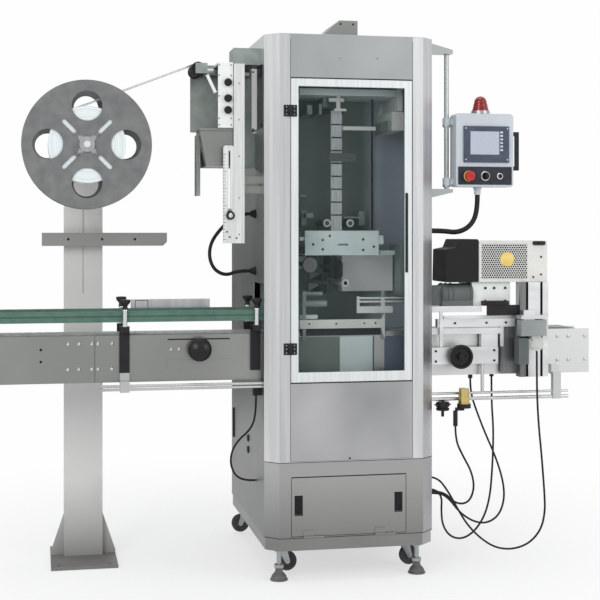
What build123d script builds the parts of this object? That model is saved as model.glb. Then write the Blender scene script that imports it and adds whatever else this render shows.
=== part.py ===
"""Film sleeve labelling machine with its conveyor, film reel stand and operator panel.

Millimetres, Z up. The operator's side looks along -Y and products run along +X. The origin is on the floor
under the middle of the machine: X is the middle of the conveyor and Y is the middle of the cabinet with its
door hinges.
"""
from build123d import *
import math
import os

os.makedirs("parts", exist_ok=True)

# Layout
LINE_LENGTH = 2460.0
CABINET_X = 221.0
CABINET_WIDTH = 664.0
CABINET_DEPTH = 950.0
HINGE_REACH = 13.0
CORNER_CUT = 50.0
WALL = 3.0
PLINTH_BOTTOM = 121.0
PLINTH_TOP = 169.0
BASE_TOP = 455.0
CABINET_TOP = 2081.0
FRONT_WIDTH = CABINET_WIDTH - 184.0
SEAM = 2.0
SEAT = 0.3

# Door
DOOR_BOTTOM = 758.0
DOOR_TOP = CABINET_TOP - 169.0
DOOR_BORDER = 30.0
DOOR_SILL = 38.0
DOOR_THICKNESS = 22.0
GLASS_THICKNESS = 5.0
GLASS_LIP = 5.0
HINGE_HEIGHTS = (DOOR_BOTTOM + 128.0, DOOR_TOP - 124.0)
HINGE_HEIGHT = 44.0
HINGE_LEAF = 20.0
KNUCKLE_RADIUS = 5.5

# Base door
BASE_DOOR_X = (-FRONT_WIDTH / 2 + 5.0, FRONT_WIDTH / 2 - 28.0)
BASE_DOOR_Z = (PLINTH_TOP + 7.0, BASE_TOP - 58.0)
BASE_DOOR_THICKNESS = 18.0
LATCH_CENTRES = (BASE_DOOR_X[0] + 27.0, BASE_DOOR_X[1] - 29.0)
LATCH_WIDTH = 31.0
LATCH_HEIGHT = 76.0
LATCH_Z = 292.0

# Conveyor
PLATE_FRONT = 105.0
CONVEYOR_WIDTH = 150.0
PLATE_THICKNESS = 4.0
PLATE_BOTTOM = 763.0
PLATE_TOP = 940.0
CHAIN_TOP = 946.0
CHAIN_WIDTH = 116.0
CHAIN_THICKNESS = 6.0
CHAIN_RADIUS = 78.0
SLAT_PITCH = 38.1
RAIL_GAP = 186.0
RAIL_THICKNESS = 12.0
RAIL_BOTTOM = 991.0
RAIL_HEIGHT = 41.0
BRACKET_STATIONS = (-857.0, -CABINET_WIDTH / 2 - 26.0)
ROD_Y = 76.0
LEFT_RODS = ((738.0, 5.0), (751.0, 5.5))
RIGHT_RODS = ((672.0, 7.0), (694.0, 5.0))

# Reel stand
STAND_X = -995.0
STAND_BASE = (262.0, 365.0, 12.0)
STAND_BASE_Y = 541.0
COLUMN_WIDTH = 155.0
COLUMN_DEPTH = 60.0
COLUMN_WALL = 5.0
COLUMN_FRONT = 543.0
COLUMN_TOP = 1740.0
REEL_Z = 1659.0
REEL_RADIUS = 243.0
DISC_THICKNESS = 5.0
FILM_WIDTH = 116.0
FILM_MIDDLE = 180.0
FILM_ROLL_RADIUS = 145.0
CORE_RADIUS = 38.0
SHAFT_RADIUS = 12.5
RUNNING_GAP = 0.1
FILM_SHEET = 0.6

# Film feeder
FEEDER_X = (-CABINET_WIDTH / 2 - 258.0, -CABINET_WIDTH / 2 - 14.0)
FEEDER_TOP = CABINET_TOP - 96.0
ENTRY_X = FEEDER_X[0] + 14.0
ENTRY_Z = FEEDER_TOP - 31.0
ENTRY_RADIUS = 26.0

# Operator panel
POLE_X = CABINET_WIDTH / 2 + 88.0
POLE_Y = 140.0
POLE_RADIUS = 9.5
PANEL_X = (POLE_X + 25.0, POLE_X + 265.0)
PANEL_Y = (95.0, 170.0)
PANEL_Z = (CABINET_TOP - 573.0, CABINET_TOP - 281.0)
POLE_BOTTOM = PANEL_Z[0] - 23.0
POLE_TOP = CABINET_TOP - 21.0
PANEL_CORNER = 14.0

# Casters
WHEEL_RADIUS = 37.5
WHEEL_WIDTH = 24.0
WHEEL_LIFT = 8.0
CASTER_TRAIL = 25.0
AXLE_RADIUS = 4.0

# Outfeed unit
HANDWHEEL_X = CABINET_WIDTH / 2 + 115.0
HANDWHEEL_Z = 841.0
HANDWHEEL_RADIUS = 46.0

FRONT_Y = -(CABINET_DEPTH - HINGE_REACH) / 2
MID_Y = FRONT_Y + CABINET_DEPTH / 2
HALF_CABINET = CABINET_WIDTH / 2


def cx(offset):
    """X of a point that lies offset to the right of the cabinet's middle."""
    return CABINET_X + offset


def fy(offset):
    """Y of a point that lies offset behind the cabinet's front face."""
    return FRONT_Y + offset


def bar(x_span, y_span, z_span, mode=Mode.ADD):
    """A square-edged bar: x is taken from the cabinet's middle, y from its front and z from the floor."""
    centre = (
        cx(sum(x_span) / 2),
        fy(sum(y_span) / 2),
        sum(z_span) / 2,
    )
    with Locations(centre):
        Box(x_span[1] - x_span[0], y_span[1] - y_span[0], z_span[1] - z_span[0], mode=mode)


def beyond(near, far):
    """An X span that is measured outwards from the cabinet's right wall."""
    return HALF_CABINET + near, HALF_CABINET + far


def along_y(x, z, radius, y_span, mode=Mode.ADD):
    """A round bar that points to the back."""
    with Locations(Location((cx(x), fy(sum(y_span) / 2), z), (90, 0, 0))):
        Cylinder(radius, y_span[1] - y_span[0], mode=mode)


def along_x(y, z, radius, x_span, mode=Mode.ADD):
    """A round bar that points to the right."""
    with Locations(Location((cx(sum(x_span) / 2), fy(y), z), (0, 90, 0))):
        Cylinder(radius, x_span[1] - x_span[0], mode=mode)


def upright(x, y, radius, z_span, mode=Mode.ADD):
    """A round bar that stands up."""
    with Locations((cx(x), fy(y), sum(z_span) / 2)):
        Cylinder(radius, z_span[1] - z_span[0], mode=mode)


def cabinet_outline(height, inset):
    """The cabinet's plan with its four cut corners, drawn in by inset."""
    cut = CORNER_CUT - inset * (2 - math.sqrt(2))
    with BuildSketch(Plane.XY.offset(height)) as outline:
        with Locations((CABINET_X, MID_Y)):
            Rectangle(CABINET_WIDTH - 2 * inset, CABINET_DEPTH - 2 * inset)
        chamfer(outline.vertices(), cut)
    return outline.sketch


def side_profile(plane, points, depth):
    """A plate cut to a straight-sided outline on the given plane."""
    with BuildSketch(plane) as profile:
        with BuildLine():
            Polyline(*points, close=True)
        make_face()
    extrude(profile.sketch, amount=depth)


FOOT_SPOTS = (
    (59 - HALF_CABINET, 60),
    (HALF_CABINET - 59, 60),
    (160 - HALF_CABINET, CABINET_DEPTH - 55),
    (HALF_CABINET - 160, CABINET_DEPTH - 55),
)
CASTER_SPOTS = {
    "front_left": (85 - HALF_CABINET, 170, 1),
    "front_right": (HALF_CABINET - 85, 170, 1),
    "rear_left": (57 - HALF_CABINET, CABINET_DEPTH - 88, -1),
    "rear_right": (HALF_CABINET - 57, CABINET_DEPTH - 88, -1),
}

# Plinth: a ring of square tube with corner plates that take the feet and casters
PLINTH_INSET = 4.0
PLINTH_TUBE = 56.0
CORNER_PLATE = 8.0
RACE_RADIUS = 22.0
RACE_HEIGHT = 6.0
with BuildPart() as plinth:
    extrude(cabinet_outline(PLINTH_BOTTOM, PLINTH_INSET), amount=PLINTH_TOP - PLINTH_BOTTOM)
    extrude(
        cabinet_outline(PLINTH_BOTTOM, PLINTH_INSET + PLINTH_TUBE),
        amount=PLINTH_TOP - PLINTH_BOTTOM,
        mode=Mode.SUBTRACT,
    )
    for side in (-1, 1):
        front_x = sorted((side * (HALF_CABINET - 127), side * (HALF_CABINET - 32)))
        rear_x = sorted((side * (HALF_CABINET - 202), side * (HALF_CABINET - 22)))
        bar(front_x, (58, 210), (PLINTH_BOTTOM, PLINTH_BOTTOM + CORNER_PLATE))
        bar(rear_x, (CABINET_DEPTH - 130, CABINET_DEPTH - 15), (PLINTH_BOTTOM, PLINTH_BOTTOM + CORNER_PLATE))
    for x, y, _ in CASTER_SPOTS.values():
        upright(x, y, RACE_RADIUS, (PLINTH_BOTTOM - RACE_HEIGHT, PLINTH_BOTTOM))
plinth.part.label = "plinth"
export_step(plinth.part, "parts/plinth.step")

# Base cabinet: a closed box with a wide front opening and the two hinge lugs of its door
HINGE_PIN = 4.0
BASE_HINGE_Y = -(HINGE_PIN + 0.4)
BASE_HINGE_Z = BASE_DOOR_Z[0] - 3.0
BASE_HINGE_SPOTS = (-150.0, 130.0)
BASE_LUG = 40.0
with BuildPart() as base_cabinet:
    extrude(cabinet_outline(PLINTH_TOP, 0), amount=BASE_TOP - PLINTH_TOP)
    extrude(
        cabinet_outline(PLINTH_TOP + WALL, WALL),
        amount=BASE_TOP - PLINTH_TOP - 2 * WALL,
        mode=Mode.SUBTRACT,
    )
    bar(
        (BASE_DOOR_X[0] - SEAM, BASE_DOOR_X[1] + SEAM),
        (-1, WALL + 1),
        (BASE_DOOR_Z[0] - SEAM, BASE_DOOR_Z[1] + SEAM),
        mode=Mode.SUBTRACT,
    )
    for x in BASE_HINGE_SPOTS:
        along_x(BASE_HINGE_Y, BASE_HINGE_Z, HINGE_PIN, (x, x + BASE_LUG))
        bar((x, x + BASE_LUG), (BASE_HINGE_Y, 0), (PLINTH_TOP, BASE_HINGE_Z))
base_cabinet.part.label = "base_cabinet"
export_step(base_cabinet.part, "parts/base_cabinet.step")

# Base door: a shallow pan with two latch pockets
LATCH_GAP = 0.5
with BuildPart() as base_door:
    bar(BASE_DOOR_X, (0, BASE_DOOR_THICKNESS), BASE_DOOR_Z)
    bar(
        (BASE_DOOR_X[0] + 12, BASE_DOOR_X[1] - 12),
        (WALL, BASE_DOOR_THICKNESS + 1),
        (BASE_DOOR_Z[0] + 12, BASE_DOOR_Z[1] - 12),
        mode=Mode.SUBTRACT,
    )
    for x in LATCH_CENTRES:
        half_width = LATCH_WIDTH / 2 + LATCH_GAP
        half_height = LATCH_HEIGHT / 2 + LATCH_GAP
        bar(
            (x - half_width - 4, x + half_width + 4),
            (0, 16),
            (LATCH_Z - half_height - 4, LATCH_Z + half_height + 4),
        )
        bar(
            (x - half_width, x + half_width),
            (-1, 12),
            (LATCH_Z - half_height, LATCH_Z + half_height),
            mode=Mode.SUBTRACT,
        )
    for x in BASE_HINGE_SPOTS:
        along_x(BASE_HINGE_Y, BASE_HINGE_Z, HINGE_PIN, (x - BASE_LUG - SEAT, x - SEAT))
        bar((x - BASE_LUG - SEAT, x - SEAT), (-2.5, 0), (BASE_HINGE_Z + 2, BASE_DOOR_Z[0] + 22))
base_door.part.label = "base_door"
export_step(base_door.part, "parts/base_door.step")

# Latches of the base door: recessed paddles that hang from their top edge
LATCH_DEPTH = 6.0
PADDLE_PIVOT = (LATCH_DEPTH + 1.0, LATCH_Z + LATCH_HEIGHT / 2 - 5.0)


def latch_paddle(x):
    """A paddle with a finger scoop and a pivot barrel at its top."""
    low = LATCH_Z - LATCH_HEIGHT / 2
    bar((x - LATCH_WIDTH / 2, x + LATCH_WIDTH / 2), (1, 1 + LATCH_DEPTH), (low + 4, PADDLE_PIVOT[1]))
    along_x(PADDLE_PIVOT[0] - 1, PADDLE_PIVOT[1], 4.8, (x - LATCH_WIDTH / 2, x + LATCH_WIDTH / 2))
    bar((x - 8, x + 8), (-0.1, 1 + LATCH_DEPTH / 2), (low + 10, low + 30), mode=Mode.SUBTRACT)


with BuildPart() as latch_left:
    latch_paddle(LATCH_CENTRES[0])
latch_left.part.label = "latch_left"
export_step(latch_left.part, "parts/latch_left.step")

with BuildPart() as latch_right:
    latch_paddle(LATCH_CENTRES[1])
latch_right.part.label = "latch_right"
export_step(latch_right.part, "parts/latch_right.step")

# Upper cabinet: sheet walls, corner posts, cross rails, side tunnels for the conveyor and a window hole
JAMB = 40.0
HALF_FRONT = FRONT_WIDTH / 2
TUNNEL_Z = (757.0, 1130.0)
TUNNEL_BACK = 296.0
WINDOW_Y = (95.0, 495.0)
WINDOW_Z = (CABINET_TOP - 339.0, CABINET_TOP - 118.0)
CROSS_RAILS = ((DOOR_BOTTOM - 12, DOOR_BOTTOM + 8), (DOOR_TOP - 8, DOOR_TOP + 12))
with BuildPart() as cabinet_shell:
    extrude(cabinet_outline(BASE_TOP, 0), amount=CABINET_TOP - BASE_TOP)
    extrude(cabinet_outline(BASE_TOP, WALL), amount=CABINET_TOP - BASE_TOP - WALL, mode=Mode.SUBTRACT)
    bar((-HALF_FRONT, HALF_FRONT), (-1, WALL + 1), (BASE_TOP + 4, CABINET_TOP - WALL), mode=Mode.SUBTRACT)
    for side in (-1, 1):
        jamb_span = sorted((side * HALF_FRONT, side * (HALF_FRONT + JAMB)))
        bar(jamb_span, (WALL, WALL + 30), (BASE_TOP, CABINET_TOP - WALL))
    for span in CROSS_RAILS:
        bar((-HALF_FRONT, HALF_FRONT), (DOOR_THICKNESS + SEAM, DOOR_THICKNESS + 32), span)
    bar((-HALF_CABINET - 1, -HALF_CABINET + WALL + 1), (62, TUNNEL_BACK), TUNNEL_Z, mode=Mode.SUBTRACT)
    bar((HALF_CABINET - WALL - 1, HALF_CABINET + 1), (101, TUNNEL_BACK), TUNNEL_Z, mode=Mode.SUBTRACT)
    bar((-HALF_CABINET - 1, -HALF_CABINET + WALL + 1), WINDOW_Y, WINDOW_Z, mode=Mode.SUBTRACT)
cabinet_shell.part.label = "cabinet_shell"
export_step(cabinet_shell.part, "parts/cabinet_shell.step")

# Front panels: header, lower panel and the raised cover on the roof
PANEL_DEPTH = 20.0
ROOF_COVER = (-104.0, -27.0, 46.0)
ROOF_COVER_Y = (100.0, 330.0)
ROOF_COVER_TOP = CABINET_TOP + 71.0
with BuildPart() as front_panels:
    panel_span = (-HALF_FRONT + SEAT, HALF_FRONT - SEAT)
    bar(panel_span, (0, PANEL_DEPTH), (DOOR_TOP + SEAM + 2, CABINET_TOP - WALL - SEAT))
    bar(panel_span, (0, PANEL_DEPTH), (BASE_TOP + 5, DOOR_BOTTOM - SEAM - 2))
    side_profile(
        Plane.XZ.offset(-fy(ROOF_COVER_Y[1])),
        (
            (cx(ROOF_COVER[0]), CABINET_TOP),
            (cx(ROOF_COVER[2]), CABINET_TOP),
            (cx(ROOF_COVER[2]), ROOF_COVER_TOP),
            (cx(ROOF_COVER[1]), ROOF_COVER_TOP),
        ),
        ROOF_COVER_Y[1] - ROOF_COVER_Y[0],
    )
front_panels.part.label = "front_panels"
export_step(front_panels.part, "parts/front_panels.step")

# Side window: a tinted pane over the hole in the left wall
with BuildPart() as side_window:
    with BuildSketch(Plane.YZ.offset(cx(-HALF_CABINET))) as pane:
        with Locations((fy(sum(WINDOW_Y) / 2), sum(WINDOW_Z) / 2)):
            RectangleRounded(WINDOW_Y[1] - WINDOW_Y[0] + 24, WINDOW_Z[1] - WINDOW_Z[0] + 24, 12)
    extrude(pane.sketch, amount=-WALL)
side_window.part.label = "side_window"
export_step(side_window.part, "parts/side_window.step")

# Black fittings on the cabinet: door hinge leaves and cable glands
HINGE_X = -HALF_FRONT
HINGE_Y = -(KNUCKLE_RADIUS + 1.5)
GLAND_RADIUS = 12.0
GLAND_REACH = 20.0
LEFT_GLANDS = ((250.0, 1401.0), (250.0, 1176.0))
RIGHT_GLANDS = ((POLE_Y, PANEL_Z[0] - 174.0), (130.0, 300.0), (165.0, 286.0), (200.0, 296.0), (235.0, 340.0))
SIDE_PLUG_REACH = 20.0
SIDE_PLUG_Y = 120.0
SIDE_PLUG_Z = 700.0


def hinge_leaf(side, height, knuckle_span):
    """One leaf of a door hinge with its half of the knuckle."""
    inner = HINGE_X + side * (KNUCKLE_RADIUS + 0.5)
    outer = HINGE_X + side * (KNUCKLE_RADIUS + HINGE_LEAF)
    bar(sorted((inner, outer)), (-3, 0), (height - HINGE_HEIGHT / 2, height + HINGE_HEIGHT / 2))
    upright(HINGE_X, HINGE_Y, KNUCKLE_RADIUS, knuckle_span)
    bar(sorted((HINGE_X + side * 2, inner)), (-5, -2), knuckle_span)


with BuildPart() as cabinet_fittings:
    for height in HINGE_HEIGHTS:
        hinge_leaf(-1, height, (height - HINGE_HEIGHT / 2, height - SEAT / 2))
    for y, z in LEFT_GLANDS:
        along_x(y, z, GLAND_RADIUS, (-HALF_CABINET - GLAND_REACH, -HALF_CABINET))
        along_x(y, z, GLAND_RADIUS + 5, (-HALF_CABINET - 8, -HALF_CABINET))
    for y, z in RIGHT_GLANDS:
        along_x(y, z, GLAND_RADIUS, (HALF_CABINET, HALF_CABINET + GLAND_REACH))
        along_x(y, z, GLAND_RADIUS + 4, (HALF_CABINET, HALF_CABINET + 8))
    bar(
        (-HALF_CABINET - SIDE_PLUG_REACH - 12, -HALF_CABINET),
        (SIDE_PLUG_Y - 12, SIDE_PLUG_Y + 12),
        (SIDE_PLUG_Z, SIDE_PLUG_Z + 30),
    )
cabinet_fittings.part.label = "cabinet_fittings"
export_step(cabinet_fittings.part, "parts/cabinet_fittings.step")

# Door frame with a rebate for the glass
DOOR_X = (-HALF_FRONT + SEAM, HALF_FRONT - SEAM)
GLASS_X = (DOOR_X[0] + DOOR_BORDER - GLASS_LIP, DOOR_X[1] - DOOR_BORDER + GLASS_LIP)
GLASS_Z = (DOOR_BOTTOM + DOOR_SILL - GLASS_LIP, DOOR_TOP - DOOR_BORDER + GLASS_LIP)
GLASS_Y = 10.0
with BuildPart() as door_frame:
    bar(DOOR_X, (0, DOOR_THICKNESS), (DOOR_BOTTOM, DOOR_TOP))
    bar(
        (GLASS_X[0] + GLASS_LIP, GLASS_X[1] - GLASS_LIP),
        (-1, DOOR_THICKNESS + 1),
        (GLASS_Z[0] + GLASS_LIP, GLASS_Z[1] - GLASS_LIP),
        mode=Mode.SUBTRACT,
    )
    bar(
        (GLASS_X[0] - SEAT, GLASS_X[1] + SEAT),
        (GLASS_Y, DOOR_THICKNESS + 1),
        (GLASS_Z[0] - SEAT, GLASS_Z[1] + SEAT),
        mode=Mode.SUBTRACT,
    )
    front_edges = door_frame.edges().filter_by(Axis.Y, reverse=True).group_by(Axis.Y)[0]
    chamfer(front_edges, 1.5)
door_frame.part.label = "door_frame"
export_step(door_frame.part, "parts/door_frame.step")

with BuildPart() as door_glass:
    bar(GLASS_X, (GLASS_Y, GLASS_Y + GLASS_THICKNESS), GLASS_Z)
door_glass.part.label = "door_glass"
export_step(door_glass.part, "parts/door_glass.step")

# Door fittings: the moving hinge leaves and the pull strip
PULL_X = (HALF_FRONT - 29.0, HALF_FRONT - 21.0)
PULL_Z = (DOOR_BOTTOM + 416.0, DOOR_TOP - 433.0)
with BuildPart() as door_fittings:
    for height in HINGE_HEIGHTS:
        hinge_leaf(1, height, (height + SEAT / 2, height + HINGE_HEIGHT / 2))
    bar(PULL_X, (-10, 0), (PULL_Z[0], PULL_Z[0] + 20))
    bar(PULL_X, (-10, 0), (PULL_Z[1] - 20, PULL_Z[1]))
    bar(PULL_X, (-10, -4), PULL_Z)
door_fittings.part.label = "door_fittings"
export_step(door_fittings.part, "parts/door_fittings.step")

# Levelling feet: a bell foot on a pad, with its nut and screw
with BuildPart() as levelling_feet:
    with BuildSketch(Plane.XZ) as foot_half:
        with BuildLine():
            Polyline((0, 0), (34, 0), (34, 5), (30, 8))
            Spline((30, 8), (24, 22), (17, 30), (15, 44))
            Polyline((15, 44), (18, 48), (18, 60), (9, 62), (9, PLINTH_BOTTOM - 16))
            Polyline((9, PLINTH_BOTTOM - 16), (15, PLINTH_BOTTOM - 14), (15, PLINTH_BOTTOM))
            Polyline((15, PLINTH_BOTTOM), (0, PLINTH_BOTTOM), (0, 0))
        make_face()
    foot = revolve(foot_half.sketch, Axis.Z, mode=Mode.PRIVATE)
    for x, y in FOOT_SPOTS:
        add(Pos(cx(x), fy(y), 0) * foot)
levelling_feet.part.label = "levelling_feet"
export_step(levelling_feet.part, "parts/levelling_feet.step")

# Casters: a swivelling fork and a wheel for each corner
AXLE_Z = WHEEL_LIFT + WHEEL_RADIUS
FORK_TOP = PLINTH_BOTTOM - RACE_HEIGHT - SEAT
FORK_GAP = WHEEL_WIDTH + 4.0
FORK_WALL = 3.0
for corner, (spot_x, spot_y, trail_side) in CASTER_SPOTS.items():
    axle_x = spot_x + trail_side * CASTER_TRAIL
    with BuildPart() as caster_fork:
        upright(spot_x, spot_y, RACE_RADIUS, (FORK_TOP - 5, FORK_TOP))
        for cheek in (-1, 1):
            cheek_y = fy(spot_y) + cheek * (FORK_GAP + FORK_WALL) / 2 + FORK_WALL / 2
            with BuildSketch(Plane.XZ.offset(-cheek_y)) as cheek_outline:
                with Locations((cx(axle_x), AXLE_Z)):
                    Circle(10)
                with Locations((cx(spot_x), FORK_TOP - 7)):
                    Rectangle(38, 4)
                make_hull()
            extrude(cheek_outline.sketch, amount=FORK_WALL)
        bar(
            (spot_x - 19, spot_x + 19),
            (spot_y - FORK_GAP / 2 - FORK_WALL, spot_y + FORK_GAP / 2 + FORK_WALL),
            (FORK_TOP - 9, FORK_TOP - 5),
        )
        half_axle = FORK_GAP / 2 + FORK_WALL + 3
        along_y(axle_x, AXLE_Z, AXLE_RADIUS, (spot_y - half_axle, spot_y + half_axle))
    caster_fork.part.label = "caster_fork_" + corner
    export_step(caster_fork.part, "parts/caster_fork_" + corner + ".step")

    with BuildPart() as caster_wheel:
        along_y(axle_x, AXLE_Z, WHEEL_RADIUS, (spot_y - WHEEL_WIDTH / 2, spot_y + WHEEL_WIDTH / 2))
        fillet(caster_wheel.edges(), 5)
        for face in (-1, 1):
            rim = sorted((spot_y + face * (WHEEL_WIDTH / 2 - 3), spot_y + face * (WHEEL_WIDTH / 2 + 1)))
            along_y(axle_x, AXLE_Z, WHEEL_RADIUS - 12, rim, mode=Mode.SUBTRACT)
            hub = sorted((spot_y + face * (WHEEL_WIDTH / 2 - 4), spot_y + face * (WHEEL_WIDTH / 2 + 1.7)))
            along_y(axle_x, AXLE_Z, 9, hub)
        bore = (spot_y - WHEEL_WIDTH, spot_y + WHEEL_WIDTH)
        along_y(axle_x, AXLE_Z, AXLE_RADIUS + RUNNING_GAP, bore, mode=Mode.SUBTRACT)
    caster_wheel.part.label = "caster_wheel_" + corner
    export_step(caster_wheel.part, "parts/caster_wheel_" + corner + ".step")

# Conveyor frame: side plates, spacers, wear strips and the sprockets that turn the chain
LINE_END = LINE_LENGTH / 2
PLATE_BACK = PLATE_FRONT + CONVEYOR_WIDTH
CONVEYOR_Y = PLATE_FRONT + CONVEYOR_WIDTH / 2
DRUM_X = LINE_END - CHAIN_RADIUS - 4
DRUM_Z = CHAIN_TOP - CHAIN_RADIUS
SPROCKET_WIDTH = 36.0
SPACER_COUNT = 6
BARREL_RADIUS = 5.0
BARREL_DEPTH = CHAIN_RADIUS - CHAIN_THICKNESS
slats_along = int(2 * DRUM_X / SLAT_PITCH)
slats_round = int(math.pi * CHAIN_RADIUS / SLAT_PITCH)
line_span = (-LINE_END - CABINET_X, LINE_END - CABINET_X)


def hinge_spots(reach):
    """Where the slats meet, reach away from the chain's middle line, each with its angle round the loop."""
    spots = []
    for index in range(slats_along):
        x = (index - (slats_along - 1) / 2) * SLAT_PITCH
        spots.append(Location((x, DRUM_Z + reach), 90))
        spots.append(Location((x, DRUM_Z - reach), -90))
    for side in (-1, 1):
        for index in range(1, slats_round):
            angle = math.pi * (index / slats_round - 0.5)
            centre = (side * (DRUM_X + reach * math.cos(angle)), DRUM_Z + reach * math.sin(angle))
            spots.append(Location(centre, side * math.degrees(angle)))
    return spots


with BuildPart() as conveyor_frame:
    for inner, outer in (
        (PLATE_FRONT + PLATE_THICKNESS, PLATE_FRONT),
        (PLATE_BACK - PLATE_THICKNESS, PLATE_BACK),
    ):
        bar(line_span, sorted((inner, outer)), (PLATE_BOTTOM, PLATE_TOP))
    for index in range(SPACER_COUNT):
        spacer_x = -DRUM_X + (index + 0.5) * 2 * DRUM_X / SPACER_COUNT
        along_y(spacer_x - CABINET_X, PLATE_TOP - 30, 10, (PLATE_FRONT, PLATE_BACK))
        along_y(spacer_x - CABINET_X, PLATE_BOTTOM + 50, 10, (PLATE_FRONT, PLATE_BACK))
    for strip_y in (CONVEYOR_Y - 52, CONVEYOR_Y + 40):
        bar(
            (-DRUM_X - CABINET_X, DRUM_X - CABINET_X),
            (strip_y, strip_y + 12),
            (PLATE_TOP - 24, CHAIN_TOP - CHAIN_THICKNESS),
        )
    with BuildSketch(Plane.XZ.offset(-fy(CONVEYOR_Y + SPROCKET_WIDTH / 2))) as sprockets:
        with Locations((-DRUM_X, DRUM_Z), (DRUM_X, DRUM_Z)):
            Circle(BARREL_DEPTH - SEAT)
        with Locations(*hinge_spots(BARREL_DEPTH)):
            Circle(BARREL_RADIUS + SEAT, mode=Mode.SUBTRACT)
    extrude(sprockets.sketch, amount=SPROCKET_WIDTH)
    for drum_x in (-DRUM_X - CABINET_X, DRUM_X - CABINET_X):
        along_y(drum_x, DRUM_Z, 12, (PLATE_FRONT, PLATE_BACK))
conveyor_frame.part.label = "conveyor_frame"
export_step(conveyor_frame.part, "parts/conveyor_frame.step")

# Slat chain: flat slats that meet at hinge barrels, in a closed loop round both sprockets
SLAT_GROOVE = 2.0
HINGE_WIDTH = 44.0
with BuildPart() as slat_chain:
    with BuildSketch(Plane.XZ.offset(-fy(CONVEYOR_Y + CHAIN_WIDTH / 2))) as slats:
        with Locations((0, DRUM_Z)):
            SlotCenterToCenter(2 * DRUM_X, 2 * CHAIN_RADIUS)
            SlotCenterToCenter(2 * DRUM_X, 2 * BARREL_DEPTH, mode=Mode.SUBTRACT)
        with Locations(*hinge_spots(CHAIN_RADIUS)):
            Rectangle(CHAIN_THICKNESS, SLAT_GROOVE, mode=Mode.SUBTRACT)
    extrude(slats.sketch, amount=CHAIN_WIDTH)
    with BuildSketch(Plane.XZ.offset(-fy(CONVEYOR_Y + HINGE_WIDTH / 2))) as barrels:
        with Locations(*hinge_spots(BARREL_DEPTH)):
            Circle(BARREL_RADIUS)
            Circle(BARREL_RADIUS / 2, mode=Mode.SUBTRACT)
    extrude(barrels.sketch, amount=HINGE_WIDTH)
slat_chain.part.label = "slat_chain"
export_step(slat_chain.part, "parts/slat_chain.step")

# Guide rails of the infeed, each with a groove along its outer face
RAIL_END = -300.0
RAIL_FRONT = CONVEYOR_Y - RAIL_GAP / 2
RAIL_BACK = CONVEYOR_Y + RAIL_GAP / 2
rail_z = (RAIL_BOTTOM, RAIL_BOTTOM + RAIL_HEIGHT)
groove_z = (RAIL_BOTTOM + 19, RAIL_BOTTOM + 24)
with BuildPart() as guide_rails:
    rail_x = (-LINE_END - CABINET_X, RAIL_END)
    bar(rail_x, (RAIL_FRONT - RAIL_THICKNESS, RAIL_FRONT), rail_z)
    bar(rail_x, (RAIL_BACK, RAIL_BACK + RAIL_THICKNESS), rail_z)
    for side in (-1, 1):
        outer_face = CONVEYOR_Y + side * (RAIL_GAP / 2 + RAIL_THICKNESS)
        groove_y = sorted((outer_face - side * 4, outer_face + side))
        bar(rail_x, groove_y, groove_z, mode=Mode.SUBTRACT)
guide_rails.part.label = "guide_rails"
export_step(guide_rails.part, "parts/guide_rails.step")

# Rail brackets: an upright bar on the side plate, a rod against the rail and a clamping knob
BRACKET_WIDTH = 38.0
BRACKET_BAR = 12.0
BRACKET_Z = (800.0, 975.0)
POST_RADIUS = 9.0
with BuildPart() as rail_brackets:
    for station in BRACKET_STATIONS:
        for side in (-1, 1):
            plate_face = CONVEYOR_Y + side * CONVEYOR_WIDTH / 2
            rail_face = CONVEYOR_Y + side * (RAIL_GAP / 2 + RAIL_THICKNESS)
            rod_y = rail_face + side * POST_RADIUS
            span_x = (station - BRACKET_WIDTH / 2, station + BRACKET_WIDTH / 2)
            bar(span_x, sorted((plate_face, plate_face + side * BRACKET_BAR)), BRACKET_Z)
            bar(
                (station - 15, station + 15),
                sorted((plate_face, rod_y + side * POST_RADIUS)),
                (BRACKET_Z[1] - 22, BRACKET_Z[1]),
            )
            upright(station, rod_y, POST_RADIUS, (BRACKET_Z[1] - 22, RAIL_BOTTOM + RAIL_HEIGHT + 4))
            knob_z = RAIL_BOTTOM + RAIL_HEIGHT + 4
            with BuildSketch(Plane.XZ) as knob_half:
                with BuildLine():
                    Polyline((0, 0), (11, 0), (9, 16), (20, 30), (20, 40), (0, 42), (0, 0))
                make_face()
            knob = revolve(knob_half.sketch, Axis.Z, mode=Mode.PRIVATE)
            add(Pos(cx(station), fy(rod_y), knob_z) * knob)
    guard_face = RAIL_BACK + RAIL_THICKNESS
    bar((-821, -510), (guard_face, guard_face + 4), (RAIL_BOTTOM + 10, RAIL_BOTTOM + 75))
rail_brackets.part.label = "rail_brackets"
export_step(rail_brackets.part, "parts/rail_brackets.step")

# Tie rods under the conveyor, with their clamp plates
TIE_ROD_X = (-950.0, 907.0)
LEFT_CLAMP_X = (-875.0, -840.0)
RIGHT_CLAMP_X = (840.0, 873.0)
with BuildPart() as tie_rods:
    for height, radius in LEFT_RODS:
        along_x(ROD_Y, height, radius, (TIE_ROD_X[0], -HALF_CABINET))
    for height, radius in RIGHT_RODS:
        along_x(ROD_Y, height, radius, (HALF_CABINET, TIE_ROD_X[1]))
    for clamp_x, low in ((LEFT_CLAMP_X, LEFT_RODS[0][0] - 10), (RIGHT_CLAMP_X, RIGHT_RODS[0][0] - 8)):
        bar(clamp_x, (ROD_Y - 12, ROD_Y + 12), (low, BRACKET_Z[0] - 30))
        bar(clamp_x, (ROD_Y + 8, PLATE_FRONT), (BRACKET_Z[0] - 40, BRACKET_Z[0]))
tie_rods.part.label = "tie_rods"
export_step(tie_rods.part, "parts/tie_rods.step")

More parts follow.
